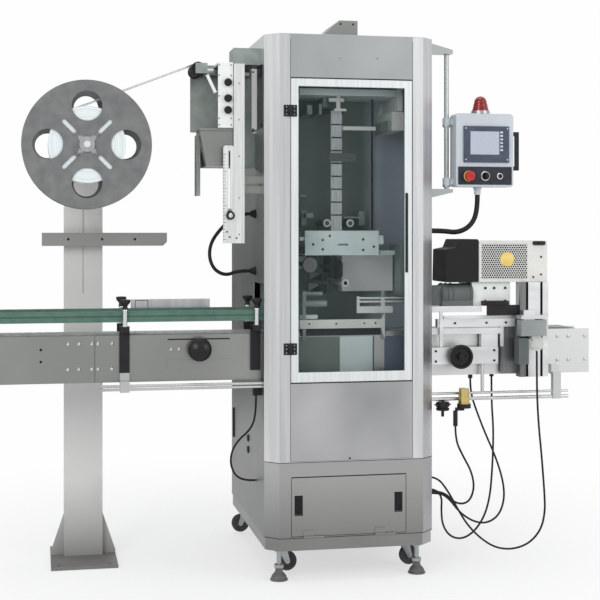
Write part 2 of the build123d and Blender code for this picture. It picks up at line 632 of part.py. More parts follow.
# Mushroom knob on the conveyor's front plate
KNOB_X = -HALF_CABINET - 242.0
KNOB_Z = 883.0
with BuildPart() as conveyor_knob:
    with BuildSketch(Plane.XZ) as mushroom_half:
        with BuildLine():
            Polyline((0, 0), (13, 0), (13, 14), (40, 18), (45, 27))
            Spline((45, 27), (39, 42), (23, 52), (0, 56), tangents=((0, 1), (-1, 0)))
            Line((0, 56), (0, 0))
        make_face()
    mushroom = revolve(mushroom_half.sketch, Axis.Z, mode=Mode.PRIVATE)
    add(Location((cx(KNOB_X), fy(PLATE_FRONT - SEAT), KNOB_Z), (90, 0, 0)) * mushroom)
conveyor_knob.part.label = "conveyor_knob"
export_step(conveyor_knob.part, "parts/conveyor_knob.step")

# Reel stand: base plate, channel column, gussets and the fixed shaft
ANCHOR_SPACING = (200.0, 300.0)
ANCHOR_RADIUS = 7.0
GUSSET_HEIGHT = 170.0
GUSSET_THICKNESS = 8.0
COLUMN_BACK = COLUMN_FRONT + COLUMN_DEPTH
REEL_FRONT = FILM_MIDDLE - FILM_WIDTH / 2 - DISC_THICKNESS
REEL_BACK = FILM_MIDDLE + FILM_WIDTH / 2 + DISC_THICKNESS
with BuildPart() as reel_stand:
    with Locations((cx(STAND_X), fy(STAND_BASE_Y), STAND_BASE[2] / 2)):
        Box(*STAND_BASE)
        with GridLocations(ANCHOR_SPACING[0], ANCHOR_SPACING[1], 2, 2):
            Cylinder(ANCHOR_RADIUS, STAND_BASE[2] + 2, mode=Mode.SUBTRACT)
    column_x = (STAND_X - COLUMN_WIDTH / 2, STAND_X + COLUMN_WIDTH / 2)
    bar(column_x, (COLUMN_FRONT, COLUMN_BACK), (STAND_BASE[2], COLUMN_TOP))
    bar(
        (column_x[0] + COLUMN_WALL, column_x[1] - COLUMN_WALL),
        (COLUMN_FRONT + COLUMN_WALL, COLUMN_BACK + 1),
        (STAND_BASE[2], COLUMN_TOP - COLUMN_WALL),
        mode=Mode.SUBTRACT,
    )
    slot_y = (COLUMN_FRONT - 1, COLUMN_FRONT + COLUMN_WALL + 1)
    bar((STAND_X - 3, STAND_X + 3), slot_y, (1080, 1450), mode=Mode.SUBTRACT)
    for side in (-1, 1):
        foot_x = cx(STAND_X + side * STAND_BASE[0] / 2)
        edge_x = cx(STAND_X + side * COLUMN_WIDTH / 2)
        side_profile(
            Plane.XZ.offset(-fy(COLUMN_FRONT + COLUMN_DEPTH / 2 + GUSSET_THICKNESS / 2)),
            (
                (edge_x, STAND_BASE[2]),
                (foot_x, STAND_BASE[2]),
                (foot_x, STAND_BASE[2] + 12),
                (edge_x, STAND_BASE[2] + GUSSET_HEIGHT),
            ),
            GUSSET_THICKNESS,
        )
    bar((STAND_X - 45, STAND_X + 45), (COLUMN_FRONT - 50, COLUMN_FRONT), (REEL_Z - 45, REEL_Z + 45))
    along_y(STAND_X, REEL_Z, SHAFT_RADIUS, (REEL_FRONT - 14, COLUMN_FRONT))
    along_y(STAND_X, REEL_Z, SHAFT_RADIUS + 10, (REEL_BACK + SEAT, REEL_BACK + 18))
reel_stand.part.label = "reel_stand"
export_step(reel_stand.part, "parts/reel_stand.step")

# Reel: two discs with round windows and slots on a hub tube
WINDOW_COUNT = 4
WINDOW_RADII = (57.0, 47.0)
WINDOW_PITCH = 146.0
SLOT_RADIUS = 95.0
SLOT_LENGTH = 68.0
SLOT_WIDTH = 16.0
HUB_RING = 29.0
CHUCK_KNOB = 6.5
CHUCK_PITCH = 53.0
with BuildPart() as reel:
    for face_y, window_radius in zip((REEL_FRONT + DISC_THICKNESS, REEL_BACK), WINDOW_RADII):
        with BuildSketch(Plane.XZ.offset(-fy(face_y))) as disc:
            with Locations((cx(STAND_X), REEL_Z)):
                Circle(REEL_RADIUS)
                with PolarLocations(WINDOW_PITCH, WINDOW_COUNT):
                    Circle(window_radius, mode=Mode.SUBTRACT)
                with PolarLocations(SLOT_RADIUS, WINDOW_COUNT, start_angle=45):
                    SlotOverall(SLOT_LENGTH, SLOT_WIDTH, mode=Mode.SUBTRACT)
        extrude(disc.sketch, amount=DISC_THICKNESS)
    along_y(STAND_X, REEL_Z, CORE_RADIUS, (REEL_FRONT, REEL_BACK))
    along_y(STAND_X, REEL_Z, HUB_RING, (REEL_FRONT - 10, REEL_FRONT))
    with BuildSketch(Plane.XZ.offset(-fy(REEL_FRONT))) as chuck_knobs:
        with Locations((cx(STAND_X), REEL_Z)):
            with PolarLocations(CHUCK_PITCH, WINDOW_COUNT, start_angle=45):
                Circle(CHUCK_KNOB)
    extrude(chuck_knobs.sketch, amount=8)
    along_y(STAND_X, REEL_Z, SHAFT_RADIUS + RUNNING_GAP, (REEL_FRONT - 20, REEL_BACK + 1), mode=Mode.SUBTRACT)
reel.part.label = "reel"
export_step(reel.part, "parts/reel.step")

with BuildPart() as film_roll:
    roll_y = (REEL_FRONT + DISC_THICKNESS + SEAT, REEL_BACK - DISC_THICKNESS - SEAT)
    along_y(STAND_X, REEL_Z, FILM_ROLL_RADIUS, roll_y)
    along_y(STAND_X, REEL_Z, CORE_RADIUS + SEAT, roll_y, mode=Mode.SUBTRACT)
film_roll.part.label = "film_roll"
export_step(film_roll.part, "parts/film_roll.step")

# Tray bar: an open channel on the column's front
TRAY_X = (-1161.0, -660.0)
TRAY_Z = (1273.0, 1326.0)
with BuildPart() as tray_bar:
    tray_front = COLUMN_FRONT - 60
    side_profile(
        Plane.XZ.offset(-fy(COLUMN_FRONT)),
        (
            (cx(TRAY_X[0]), TRAY_Z[0]),
            (cx(TRAY_X[1] - 16), TRAY_Z[0]),
            (cx(TRAY_X[1]), TRAY_Z[0] + 16),
            (cx(TRAY_X[1]), TRAY_Z[1]),
            (cx(TRAY_X[0]), TRAY_Z[1]),
        ),
        60,
    )
    bar(
        (TRAY_X[0] - 1, TRAY_X[1] + 1),
        (tray_front + 4, COLUMN_FRONT - 4),
        (TRAY_Z[0] + 20, TRAY_Z[1] + 1),
        mode=Mode.SUBTRACT,
    )
tray_bar.part.label = "tray_bar"
export_step(tray_bar.part, "parts/tray_bar.step")

# Feeder box: back plate, lower box, roller bar and the brackets that hold them on the cabinet
FEEDER_BACK = 262.0
FEEDER_PLATE = 6.0
FEEDER_SHELF = FEEDER_TOP - 265.0
BOX_X = (FEEDER_X[0] + 24.0, -HALF_CABINET - 110.0)
POST_X = (-HALF_CABINET - 108.0, -HALF_CABINET - 67.0)
POST_Z = (FEEDER_TOP - 699.0, FEEDER_TOP - 10.3)
ROLLER_BAR_Y = FEEDER_BACK - 16.0
ROLLER_BAR_RADIUS = 17.0
SPINDLE_RADIUS = 6.0
with BuildPart() as feeder_box:
    plate_y = (FEEDER_BACK, FEEDER_BACK + FEEDER_PLATE)
    bar(FEEDER_X, plate_y, (FEEDER_SHELF, FEEDER_TOP))
    bar((BOX_X[0], -HALF_CABINET), plate_y, (FEEDER_SHELF - 140, FEEDER_SHELF))
    side_profile(
        Plane.XZ.offset(-fy(FEEDER_BACK)),
        (
            (cx(BOX_X[0] + 23), FEEDER_SHELF - 138),
            (cx(BOX_X[1]), FEEDER_SHELF - 138),
            (cx(BOX_X[1]), FEEDER_SHELF + 7),
            (cx(BOX_X[0]), FEEDER_SHELF + 7),
            (cx(BOX_X[0]), FEEDER_SHELF - 20),
        ),
        FEEDER_BACK - 130,
    )
    bar((BOX_X[0] - 3, BOX_X[1]), (124, FEEDER_BACK), (FEEDER_SHELF - 1, FEEDER_SHELF + 7))
    bar((BOX_X[0] - 7, BOX_X[0] + 8), (200, FEEDER_BACK), (FEEDER_SHELF - 250, FEEDER_SHELF - 15))
    along_x(ROLLER_BAR_Y, ENTRY_Z, ROLLER_BAR_RADIUS, (ENTRY_X + 32, -HALF_CABINET - 28))
    bar((POST_X[0] + 5, -HALF_CABINET), (140, plate_y[1]), (FEEDER_TOP - 9, FEEDER_TOP + 55))
    bracket_z = (ENTRY_Z - 20, ENTRY_Z + 20)
    bar((ENTRY_X + 26, ENTRY_X + 34), (100, FEEDER_BACK), bracket_z)
    bar((ENTRY_X - 12, ENTRY_X + 34), (FEEDER_BACK - 14, FEEDER_BACK), bracket_z)
    bar((ENTRY_X - 12, ENTRY_X + 34), (100, 108), bracket_z)
    along_y(ENTRY_X, ENTRY_Z, SPINDLE_RADIUS, (100, FEEDER_BACK))
feeder_box.part.label = "feeder_box"
export_step(feeder_box.part, "parts/feeder_box.step")

# Feeder plates: white control plate, slotted scale bar and post, with their black gauges and knob
CONTROL_PLATE_X = (POST_X[0] - 60.0, POST_X[0] - 2.0)
SCALE_X = (POST_X[0] - 42.0, POST_X[0])
SCALE_TOP = POST_Z[0] + 374.0
PLUG_BAR_Z = POST_Z[0] + 192.0
GAUGE_HEIGHTS = (FEEDER_TOP - 83.0, FEEDER_TOP - 144.0, FEEDER_TOP - 189.0)
with BuildPart() as feeder_plates:
    bar(CONTROL_PLATE_X, (112, 118), (FEEDER_SHELF + 9, FEEDER_TOP - 5))
    bar(CONTROL_PLATE_X, (118, ROLLER_BAR_Y), (ENTRY_Z + ROLLER_BAR_RADIUS + SEAT, FEEDER_TOP - 5))
    bar(POST_X, (104, 128), POST_Z)
    for low in (PLUG_BAR_Z, PLUG_BAR_Z + 38):
        bar((POST_X[0] + 8, -HALF_CABINET), (128, 150), (low, low + 28))
    bar((POST_X[0] + 8, POST_X[1] - 8), (128, 150), (PLUG_BAR_Z, PLUG_BAR_Z + 66))
    with BuildSketch(Plane.XZ.offset(-fy(108))) as scale_outline:
        with Locations((cx(sum(SCALE_X) / 2), (POST_Z[0] + SCALE_TOP) / 2)):
            Rectangle(SCALE_X[1] - SCALE_X[0], SCALE_TOP - POST_Z[0])
        fillet(scale_outline.vertices().group_by(Axis.Y)[-1], 10)
        with Locations((cx(sum(SCALE_X) / 2 + 3), SCALE_TOP - 130)):
            SlotOverall(220, 7, rotation=90, mode=Mode.SUBTRACT)
    extrude(scale_outline.sketch, amount=8)
    bar((SCALE_X[1] - 0.1, SCALE_X[1] + 0.1), (104, 108), (POST_Z[0], SCALE_TOP - 20))
    for height in GAUGE_HEIGHTS:
        along_y(POST_X[0] - 23, height, 12, (104, 112))
    along_y(POST_X[0] - 15, POST_Z[0] + 106, 15, (84, 100))
feeder_plates.part.label = "feeder_plates"
export_step(feeder_plates.part, "parts/feeder_plates.step")

# Entry roller, turning on the feeder's spindle
with BuildPart() as entry_roller:
    roller_span = (108 + 2, FEEDER_BACK - 14 - 2)
    along_y(ENTRY_X, ENTRY_Z, ENTRY_RADIUS - 3, roller_span)
    for side in (-1, 1):
        flange = sorted(FILM_MIDDLE + side * (FILM_WIDTH / 2 + reach) for reach in (2, 8))
        along_y(ENTRY_X, ENTRY_Z, ENTRY_RADIUS, flange)
    bore = (roller_span[0] - 1, roller_span[1] + 1)
    along_y(ENTRY_X, ENTRY_Z, SPINDLE_RADIUS + RUNNING_GAP, bore, mode=Mode.SUBTRACT)
entry_roller.part.label = "entry_roller"
export_step(entry_roller.part, "parts/entry_roller.step")

# Film: the web from the roll to the entry roller and the flat sleeve inside the cabinet
SLEEVE_X = (-43.0, 1.0)
SLEEVE_Y = 180.0
BEAM_Z = (CABINET_TOP - 221.0, CABINET_TOP - 196.0)
CUTTER_TOP = 1334.0
NIP_ROLLER_Z = BEAM_Z[0] - 55.0
SLEEVE_Z = (CUTTER_TOP + 0.5, NIP_ROLLER_Z + 4)
reel_to_entry = Vector(ENTRY_X - STAND_X, ENTRY_Z - REEL_Z, 0)
web_reach = reel_to_entry.length
roller_face = ENTRY_RADIUS - 3 + SEAT
roll_face = FILM_ROLL_RADIUS + SEAT
web_angle = math.atan2(reel_to_entry.Y, reel_to_entry.X) - math.asin((roll_face - roller_face) / web_reach)
web_normal = (-math.sin(web_angle), math.cos(web_angle))
web_start = (cx(STAND_X) + roll_face * web_normal[0], REEL_Z + roll_face * web_normal[1])
web_end = (cx(ENTRY_X) + roller_face * web_normal[0], ENTRY_Z + roller_face * web_normal[1])
with BuildPart() as film:
    side_profile(
        Plane.XZ.offset(-fy(FILM_MIDDLE + FILM_WIDTH / 2 - 3)),
        (
            web_start,
            web_end,
            (web_end[0] + FILM_SHEET * web_normal[0], web_end[1] + FILM_SHEET * web_normal[1]),
            (web_start[0] + FILM_SHEET * web_normal[0], web_start[1] + FILM_SHEET * web_normal[1]),
        ),
        FILM_WIDTH - 6,
    )
    bar(SLEEVE_X, (SLEEVE_Y - 1.5, SLEEVE_Y + 1.5), SLEEVE_Z)
film.part.label = "film"
export_step(film.part, "parts/film.step")

# Pole of the operator panel with its two wedge brackets and the collars that carry the box
COLLAR_HEIGHTS = (PANEL_Z[0] + 22.0, PANEL_Z[1] - 32.0)
COLLAR_RADIUS = 16.0
with BuildPart() as hmi_pole:
    upright(POLE_X, POLE_Y, POLE_RADIUS, (POLE_BOTTOM, POLE_TOP))
    for edge, tip in ((POLE_BOTTOM - 24, POLE_BOTTOM + 15), (CABINET_TOP, CABINET_TOP - 45)):
        side_profile(
            Plane.XZ.offset(-fy(POLE_Y + 22)),
            (
                (cx(HALF_CABINET), edge),
                (cx(HALF_CABINET), tip),
                (cx(POLE_X + 20), tip),
                (cx(POLE_X + 20), tip + (edge - tip) * 0.35),
            ),
            44,
        )
    for height in COLLAR_HEIGHTS:
        upright(POLE_X, POLE_Y, COLLAR_RADIUS, (height - 22, height - 14 - SEAT))
hmi_pole.part.label = "hmi_pole"
export_step(hmi_pole.part, "parts/hmi_pole.step")

# Places of the controls on the operator box
STOP_X = PANEL_X[0] + 52.0
STOP_STEM = 9.0
STOP_COLLAR = 17.0
STOP_TRAVEL = 6.0
SELECTOR_X = PANEL_X[0] + 120.0
CONTROL_Z = PANEL_Z[0] + 43.0
STRIP_FACE = PANEL_Y[0] - 3.0

# Operator box with the arms that turn on the pole, its handle base and cable gland
GLAND_X = PANEL_X[0] + 104.0
with BuildPart() as hmi_box:
    bar(PANEL_X, PANEL_Y, PANEL_Z)
    box_edges = hmi_box.edges().filter_by(Axis.Y)
    fillet(box_edges, PANEL_CORNER)
    fillet(hmi_box.faces().sort_by(Axis.Y)[0].edges(), 4)
    for height in COLLAR_HEIGHTS:
        upright(POLE_X, POLE_Y, COLLAR_RADIUS, (height - 14, height + 14))
        bar((POLE_X, PANEL_X[0] + 2), (POLE_Y - 8, POLE_Y + 8), (height - 12, height + 12))
    upright(POLE_X, POLE_Y, POLE_RADIUS + RUNNING_GAP, (PANEL_Z[0] - 40, PANEL_Z[1] + 40), mode=Mode.SUBTRACT)
    along_y(STOP_X, CONTROL_Z, STOP_STEM + SEAT, (PANEL_Y[0] - 1, PANEL_Y[0] + 8), mode=Mode.SUBTRACT)
    upright(GLAND_X, POLE_Y, 17, (PANEL_Z[0] - 8, PANEL_Z[0] + 1))
    upright(GLAND_X, POLE_Y, 13, (PANEL_Z[0] - 30, PANEL_Z[0] - 8))
hmi_box.part.label = "hmi_box"
export_step(hmi_box.part, "parts/hmi_box.step")

# Dark parts of the panel: bezel, control strip and carrying handle
BEZEL_X = (PANEL_X[0] + 31.0, PANEL_X[1] - 21.0)
BEZEL_Z = (PANEL_Z[0] + 97.0, PANEL_Z[1] - 51.0)
STRIP_X = (PANEL_X[0] + 9.0, PANEL_X[1] - 9.0)
STRIP_Z = (PANEL_Z[0] + 9.0, PANEL_Z[0] + 80.0)
SCREEN_X = (BEZEL_X[0] + 27.0, BEZEL_X[1] - 40.0)
SCREEN_Z = (BEZEL_Z[0] + 31.0, BEZEL_Z[1] - 20.0)
BEZEL_FACE = PANEL_Y[0] - 6.0
HANDLE_X = (PANEL_X[1], PANEL_X[1] + 32.0)
HANDLE_Z = (PANEL_Z[0] + 68.0, PANEL_Z[1] - 70.0)
with BuildPart() as hmi_panel:
    bar(STRIP_X, (STRIP_FACE, PANEL_Y[0]), STRIP_Z)
    bar(BEZEL_X, (BEZEL_FACE, PANEL_Y[0]), BEZEL_Z)
    bar(SCREEN_X, (BEZEL_FACE - 1, BEZEL_FACE + 3), SCREEN_Z, mode=Mode.SUBTRACT)
    along_y(STOP_X, CONTROL_Z, STOP_COLLAR, (STRIP_FACE - 4, STRIP_FACE))
    along_y(STOP_X, CONTROL_Z, STOP_STEM + SEAT, (STRIP_FACE - 5, PANEL_Y[0] + 1), mode=Mode.SUBTRACT)
    for end in (HANDLE_Z[0], HANDLE_Z[1] - 16):
        bar(HANDLE_X, (120, 142), (end, end + 16))
    bar((HANDLE_X[1] - 12, HANDLE_X[1]), (120, 142), HANDLE_Z)
hmi_panel.part.label = "hmi_panel"
export_step(hmi_panel.part, "parts/hmi_panel.step")

with BuildPart() as hmi_screen:
    bar(
        (SCREEN_X[0] + SEAT, SCREEN_X[1] - SEAT),
        (BEZEL_FACE + 1, BEZEL_FACE + 3),
        (SCREEN_Z[0] + SEAT, SCREEN_Z[1] - SEAT),
    )
hmi_screen.part.label = "hmi_screen"
export_step(hmi_screen.part, "parts/hmi_screen.step")

# Emergency stop: a mushroom head that is pushed towards the box
with BuildPart() as emergency_stop:
    head_back = STRIP_FACE - 4 - STOP_TRAVEL - SEAT
    along_y(STOP_X, CONTROL_Z, 20, (head_back - 14, head_back))
    fillet(emergency_stop.faces().sort_by(Axis.Y)[0].edges(), 5)
    along_y(STOP_X, CONTROL_Z, STOP_STEM, (head_back, STRIP_FACE))
emergency_stop.part.label = "emergency_stop"
export_step(emergency_stop.part, "parts/emergency_stop.step")

# Selector switch with its bar grip
with BuildPart() as selector:
    along_y(SELECTOR_X, CONTROL_Z, 15, (STRIP_FACE - 8, STRIP_FACE - SEAT))
    bar((SELECTOR_X - 4, SELECTOR_X + 4), (STRIP_FACE - 18, STRIP_FACE - 8), (CONTROL_Z - 13, CONTROL_Z + 13))
selector.part.label = "selector"
export_step(selector.part, "parts/selector.step")

# Beacon on the box: silver foot, ribbed lens and dark cap
BEACON_X = PANEL_X[0] + 114.0
BEACON_Y = 132.0
with BuildPart() as beacon:
    with BuildSketch(Plane.XZ) as beacon_half:
        with BuildLine():
            Polyline((0, 0), (37, 0), (37, 12), (33, 14), (33, 20), (30, 22))
            Polyline((30, 22), (30, 30), (28, 32), (28, 40), (25, 42), (25, 50))
            Spline((25, 50), (21, 60), (13, 68), (0, 71))
            Line((0, 71), (0, 0))
        make_face()
    lens = revolve(beacon_half.sketch, Axis.Z, mode=Mode.PRIVATE)
    add(Pos(cx(BEACON_X), fy(BEACON_Y), PANEL_Z[1]) * lens)
beacon.part.label = "beacon"
export_step(beacon.part, "parts/beacon.step")

# Outfeed unit: the fixed bars and plates that stand on the cabinet's right wall
UNIT_FRONT = 62.0
UNIT_BACK = 92.0
UNIT_COLUMN_X = beyond(360.0, 479.0)
UNIT_COLUMN_Y = (42.0, UNIT_BACK)
UNIT_COLUMN_Z = (756.0, 1131.0)
CABLE_TRAY_Z = (PLATE_BOTTOM, PLATE_BOTTOM + 6.0)
with BuildPart() as unit_frame:
    bar(beyond(0, 209), (UNIT_FRONT, 100), (1014, 1038))
    bar(beyond(56, 360), (76, 88), (987, 999))
    bar(beyond(27, 347), (UNIT_FRONT, UNIT_BACK), (955, 987))
    bar(beyond(0, 302), (UNIT_FRONT + 8, UNIT_BACK), (927, 951))
    bar(beyond(34, 46), (UNIT_FRONT - 8, UNIT_FRONT), (880, 1017))
    bar(beyond(0, 276), (UNIT_FRONT, UNIT_BACK), (810, 876))
    bar(beyond(288, 302), (UNIT_FRONT + 8, UNIT_BACK), (876, 955))
    bar(beyond(208, 276), (66, UNIT_BACK), (876, 927))
    bar(beyond(295, 360), (80, UNIT_BACK), (767, 927))
    bar(beyond(288, 360), (80, UNIT_BACK), (927, 990))
    upright(HALF_CABINET + 217, 80, 7, (sum(RIGHT_RODS[1]), 810))
    bar(beyond(168, 348), (PLATE_FRONT + PLATE_THICKNESS, PLATE_BACK - PLATE_THICKNESS), CABLE_TRAY_Z)
unit_frame.part.label = "unit_frame"
export_step(unit_frame.part, "parts/unit_frame.step")

# Profile column of the outfeed unit
with BuildPart() as unit_column:
    with BuildSketch(Plane.XY.offset(UNIT_COLUMN_Z[0])) as section:
        with Locations((cx(sum(UNIT_COLUMN_X) / 2), fy(sum(UNIT_COLUMN_Y) / 2))):
            RectangleRounded(UNIT_COLUMN_X[1] - UNIT_COLUMN_X[0], UNIT_COLUMN_Y[1] - UNIT_COLUMN_Y[0], 3)
            with GridLocations(60, UNIT_COLUMN_Y[1] - UNIT_COLUMN_Y[0], 2, 2):
                Rectangle(10, 16, mode=Mode.SUBTRACT)
            with GridLocations(60, 1, 2, 1):
                Circle(6, mode=Mode.SUBTRACT)
    extrude(section.sketch, amount=UNIT_COLUMN_Z[1] - UNIT_COLUMN_Z[0])
    bar((UNIT_COLUMN_X[0] + 20, UNIT_COLUMN_X[1]), (UNIT_BACK, PLATE_FRONT), (780, 930))
unit_column.part.label = "unit_column"
export_step(unit_column.part, "parts/unit_column.step")

# Motors of the outfeed unit: the gearmotor with its bearing plate and the box motor on the column
GUARD_PIVOT = (256.0, UNIT_COLUMN_Z[1])
GUARD_HINGE_RADIUS = 4.0
with BuildPart() as unit_motors:
    along_x(108, 1082, 43.7, beyond(48, 175))
    bar(beyond(48, 175), (68, 148), (1038, 1060))
    bar(beyond(0, 48), (78, 138), (1040, 1118))
    bar(beyond(175, 334), (84, 96), (1038, 1131))
    bar(beyond(175, 334), (96, 250), (1119, 1131))
    along_x(GUARD_PIVOT[0], GUARD_PIVOT[1], GUARD_HINGE_RADIUS, beyond(228, 268))
    bar(beyond(228, 268), (248, GUARD_PIVOT[0]), (1121, 1131))
    bar(beyond(348, 452), (UNIT_COLUMN_Y[0] - 48, UNIT_COLUMN_Y[0]), (921, 984))
    bar(beyond(348, 444), (UNIT_COLUMN_Y[0] - 50, UNIT_COLUMN_Y[0]), (988, 1003))
    bar(beyond(360, 406), (UNIT_COLUMN_Y[0] - 40, UNIT_COLUMN_Y[0]), (984, 1022))
unit_motors.part.label = "unit_motors"
export_step(unit_motors.part, "parts/unit_motors.step")

# Black hood over the belt drive
with BuildPart() as unit_hood:
    side_profile(
        Plane.XZ.offset(-fy(250)),
        (
            (cx(HALF_CABINET + 63), 1131),
            (cx(HALF_CABINET + 197), 1131),
            (cx(HALF_CABINET + 197), 1301),
            (cx(HALF_CABINET + 120), 1301),
            (cx(HALF_CABINET + 106), 1268),
            (cx(HALF_CABINET + 66), 1260),
        ),
        180,
    )
    hood_edges = unit_hood.edges().filter_by(Axis.Y)
    fillet(hood_edges, 5)
unit_hood.part.label = "unit_hood"
export_step(unit_hood.part, "parts/unit_hood.step")

# Black clamps, pads and knobs of the outfeed unit, its valve and the small cable glands
VALVE_X = HALF_CABINET + 129.0
VALVE_Y = 44.0
TEE_X = HALF_CABINET + 52.0
PLUG_X = HALF_CABINET + 412.0
PLUG_Z = 889.0
PLUG_Y = UNIT_COLUMN_Y[0] - 46.0
UNDER_GLANDS = ((HALF_CABINET + 187.0, 140.0), (HALF_CABINET + 294.0, 190.0))
UNDER_GLAND_LENGTH = 18.0
with BuildPart() as unit_fittings:
    bar(beyond(213, 318), (54, 84), (1038, 1057))
    bar(beyond(228, 308), (46, UNIT_FRONT), (1000, 1038))
    bar(beyond(309, 360), (52, 76), (1000, 1040))
    bar(beyond(336, 377), (PLUG_Y - 6, UNIT_COLUMN_Y[0]), (811, 913))
    bar((PLUG_X - 35, PLUG_X), (PLUG_Y, UNIT_COLUMN_Y[0]), (870, 908))
    along_y(PLUG_X, PLUG_Z, 26, (PLUG_Y - 6, PLUG_Y + 6))
    upright(TEE_X, ROD_Y, 21, (640, 662))
    upright(TEE_X, ROD_Y, 6, (604, RIGHT_RODS[0][0] - RIGHT_RODS[0][1]))
    upright(VALVE_X, VALVE_Y, 20, (657, 716))
    bar((VALVE_X - 10, VALVE_X + 10), (VALVE_Y, ROD_Y - RIGHT_RODS[1][1]), (RIGHT_RODS[1][0] - 8, 716))
    upright(VALVE_X, VALVE_Y, 27, (640, 657))
    upright(VALVE_X - 35, VALVE_Y, 9, (570, 630))
    bar((VALVE_X - 35, VALVE_X), (VALVE_Y - 6, VALVE_Y + 6), (630, 642))
    for x, y in UNDER_GLANDS:
        upright(x, y, 9, (PLATE_BOTTOM - UNDER_GLAND_LENGTH, PLATE_BOTTOM))
unit_fittings.part.label = "unit_fittings"
export_step(unit_fittings.part, "parts/unit_fittings.step")

# Perforated guard over the belt drive, an open-bottomed cover on a hinge at its back
GUARD_X = beyond(199.0, 484.0)
GUARD_Y = (68.0, 250.0)
GUARD_Z = (UNIT_COLUMN_Z[1] + SEAT, 1294.0)
GUARD_SHEET = 2.0
with BuildPart() as unit_guard:
    bar(GUARD_X, GUARD_Y, GUARD_Z)
    bar(
        (GUARD_X[0] + GUARD_SHEET, GUARD_X[1] - GUARD_SHEET),
        (GUARD_Y[0] + GUARD_SHEET, GUARD_Y[1] - GUARD_SHEET),
        (GUARD_Z[0] - 1, GUARD_Z[1] - GUARD_SHEET),
        mode=Mode.SUBTRACT,
    )
    along_x(GUARD_PIVOT[0], GUARD_PIVOT[1], GUARD_HINGE_RADIUS, beyond(268 + SEAT, 308))
    bar(beyond(268 + SEAT, 308), (GUARD_Y[1], GUARD_PIVOT[0]), (GUARD_PIVOT[1] + 1, GUARD_PIVOT[1] + 12))
unit_guard.part.label = "unit_guard"
export_step(unit_guard.part, "parts/unit_guard.step")

# Handwheel of the outfeed unit
WHEEL_FACE = UNIT_FRONT - SEAT
with BuildPart() as handwheel:
    along_y(HANDWHEEL_X, HANDWHEEL_Z, 16, (WHEEL_FACE - 34, WHEEL_FACE))
    along_y(HANDWHEEL_X, HANDWHEEL_Z, HANDWHEEL_RADIUS, (WHEEL_FACE - 34, WHEEL_FACE - 14))
    fillet(handwheel.faces().sort_by(Axis.Y)[0].edges(), 4)
    dish = (WHEEL_FACE - 35, WHEEL_FACE - 26)
    along_y(HANDWHEEL_X, HANDWHEEL_Z, HANDWHEEL_RADIUS - 9, dish, mode=Mode.SUBTRACT)
    along_y(HANDWHEEL_X, HANDWHEEL_Z, 14, (WHEEL_FACE - 38, WHEEL_FACE - 26))
handwheel.part.label = "handwheel"
export_step(handwheel.part, "parts/handwheel.step")

# Inner frame: mounting wall, top beam, brackets and the supports of the conveyor
INNER_WALL_Y = 330.0
GUIDE_Y = 97.0
GUIDE_ROLLS = (((-173, -76), 1051, 13), ((-173, -93), 1090, 8))
ROLLER_SUPPORTS = (
    ((-135, -115), 195, (1794, 1830)),
    ((-88, -75), 195, (1794, 1836)),
    ((-70, -52), 205, (1824, 1862)),
    ((-148, -128), 250, (1357, 1414)),
    ((-138, -110), 200, (1386, 1404)),
    ((14, 78), 200, (1384, 1390)),
    ((88, 113), 250, (1357, 1412)),
    ((-163, -138), 200, (1468, 1477)),
)
with BuildPart() as inner_frame:
    wall_x = (-HALF_CABINET + 32, HALF_CABINET - 32)
    bar(wall_x, (INNER_WALL_Y, INNER_WALL_Y + 6), (BASE_TOP, CABINET_TOP - 181))
    bar(wall_x, (INNER_WALL_Y + 6, INNER_WALL_Y + 46), (BASE_TOP, BASE_TOP + 30))
    bar((-186, 206), (95, INNER_WALL_Y), BEAM_Z)
    bar((206, 226), (95, INNER_WALL_Y), (BEAM_Z[0] - 58, BEAM_Z[1] + 10))
    bar((183, 231), (95, INNER_WALL_Y), (BEAM_Z[0] - 133, BEAM_Z[0] - 61))
    bar((168, 183), (99, INNER_WALL_Y), (BEAM_Z[0] - 136, BEAM_Z[0] - 93))
    for x_span, y_front, z_span in ROLLER_SUPPORTS:
        bar(x_span, (y_front, INNER_WALL_Y), z_span)
    bar((234, 244), (150, INNER_WALL_Y), (1079, 1278))
    for x in (-200, 160):
        bar((x, x + 40), (PLATE_FRONT, PLATE_BACK), (BASE_TOP, PLATE_BOTTOM))
    bar((-184, 155), (GUIDE_Y, PLATE_FRONT), (CHAIN_TOP + 9, CHAIN_TOP + 43))
    for x_span in ((-173, -160), (140, 155)):
        bar(x_span, (GUIDE_Y, PLATE_FRONT), (PLATE_TOP - 30, 1100))
    for x_span, height, radius in GUIDE_ROLLS:
        along_x(GUIDE_Y + 15, height, radius, x_span)
        bar((x_span[0], x_span[0] + 12), (GUIDE_Y, GUIDE_Y + 15), (height - 6, height + 6))
    bar((53, 187), (GUIDE_Y, PLATE_FRONT), (1013, 1039))
    bar((43, 53), (GUIDE_Y, PLATE_FRONT), (1013, 1078))
    for height in (1057, 1071):
        along_x(GUIDE_Y + 3, height, 4, (43, 228))
inner_frame.part.label = "inner_frame"
export_step(inner_frame.part, "parts/inner_frame.step")

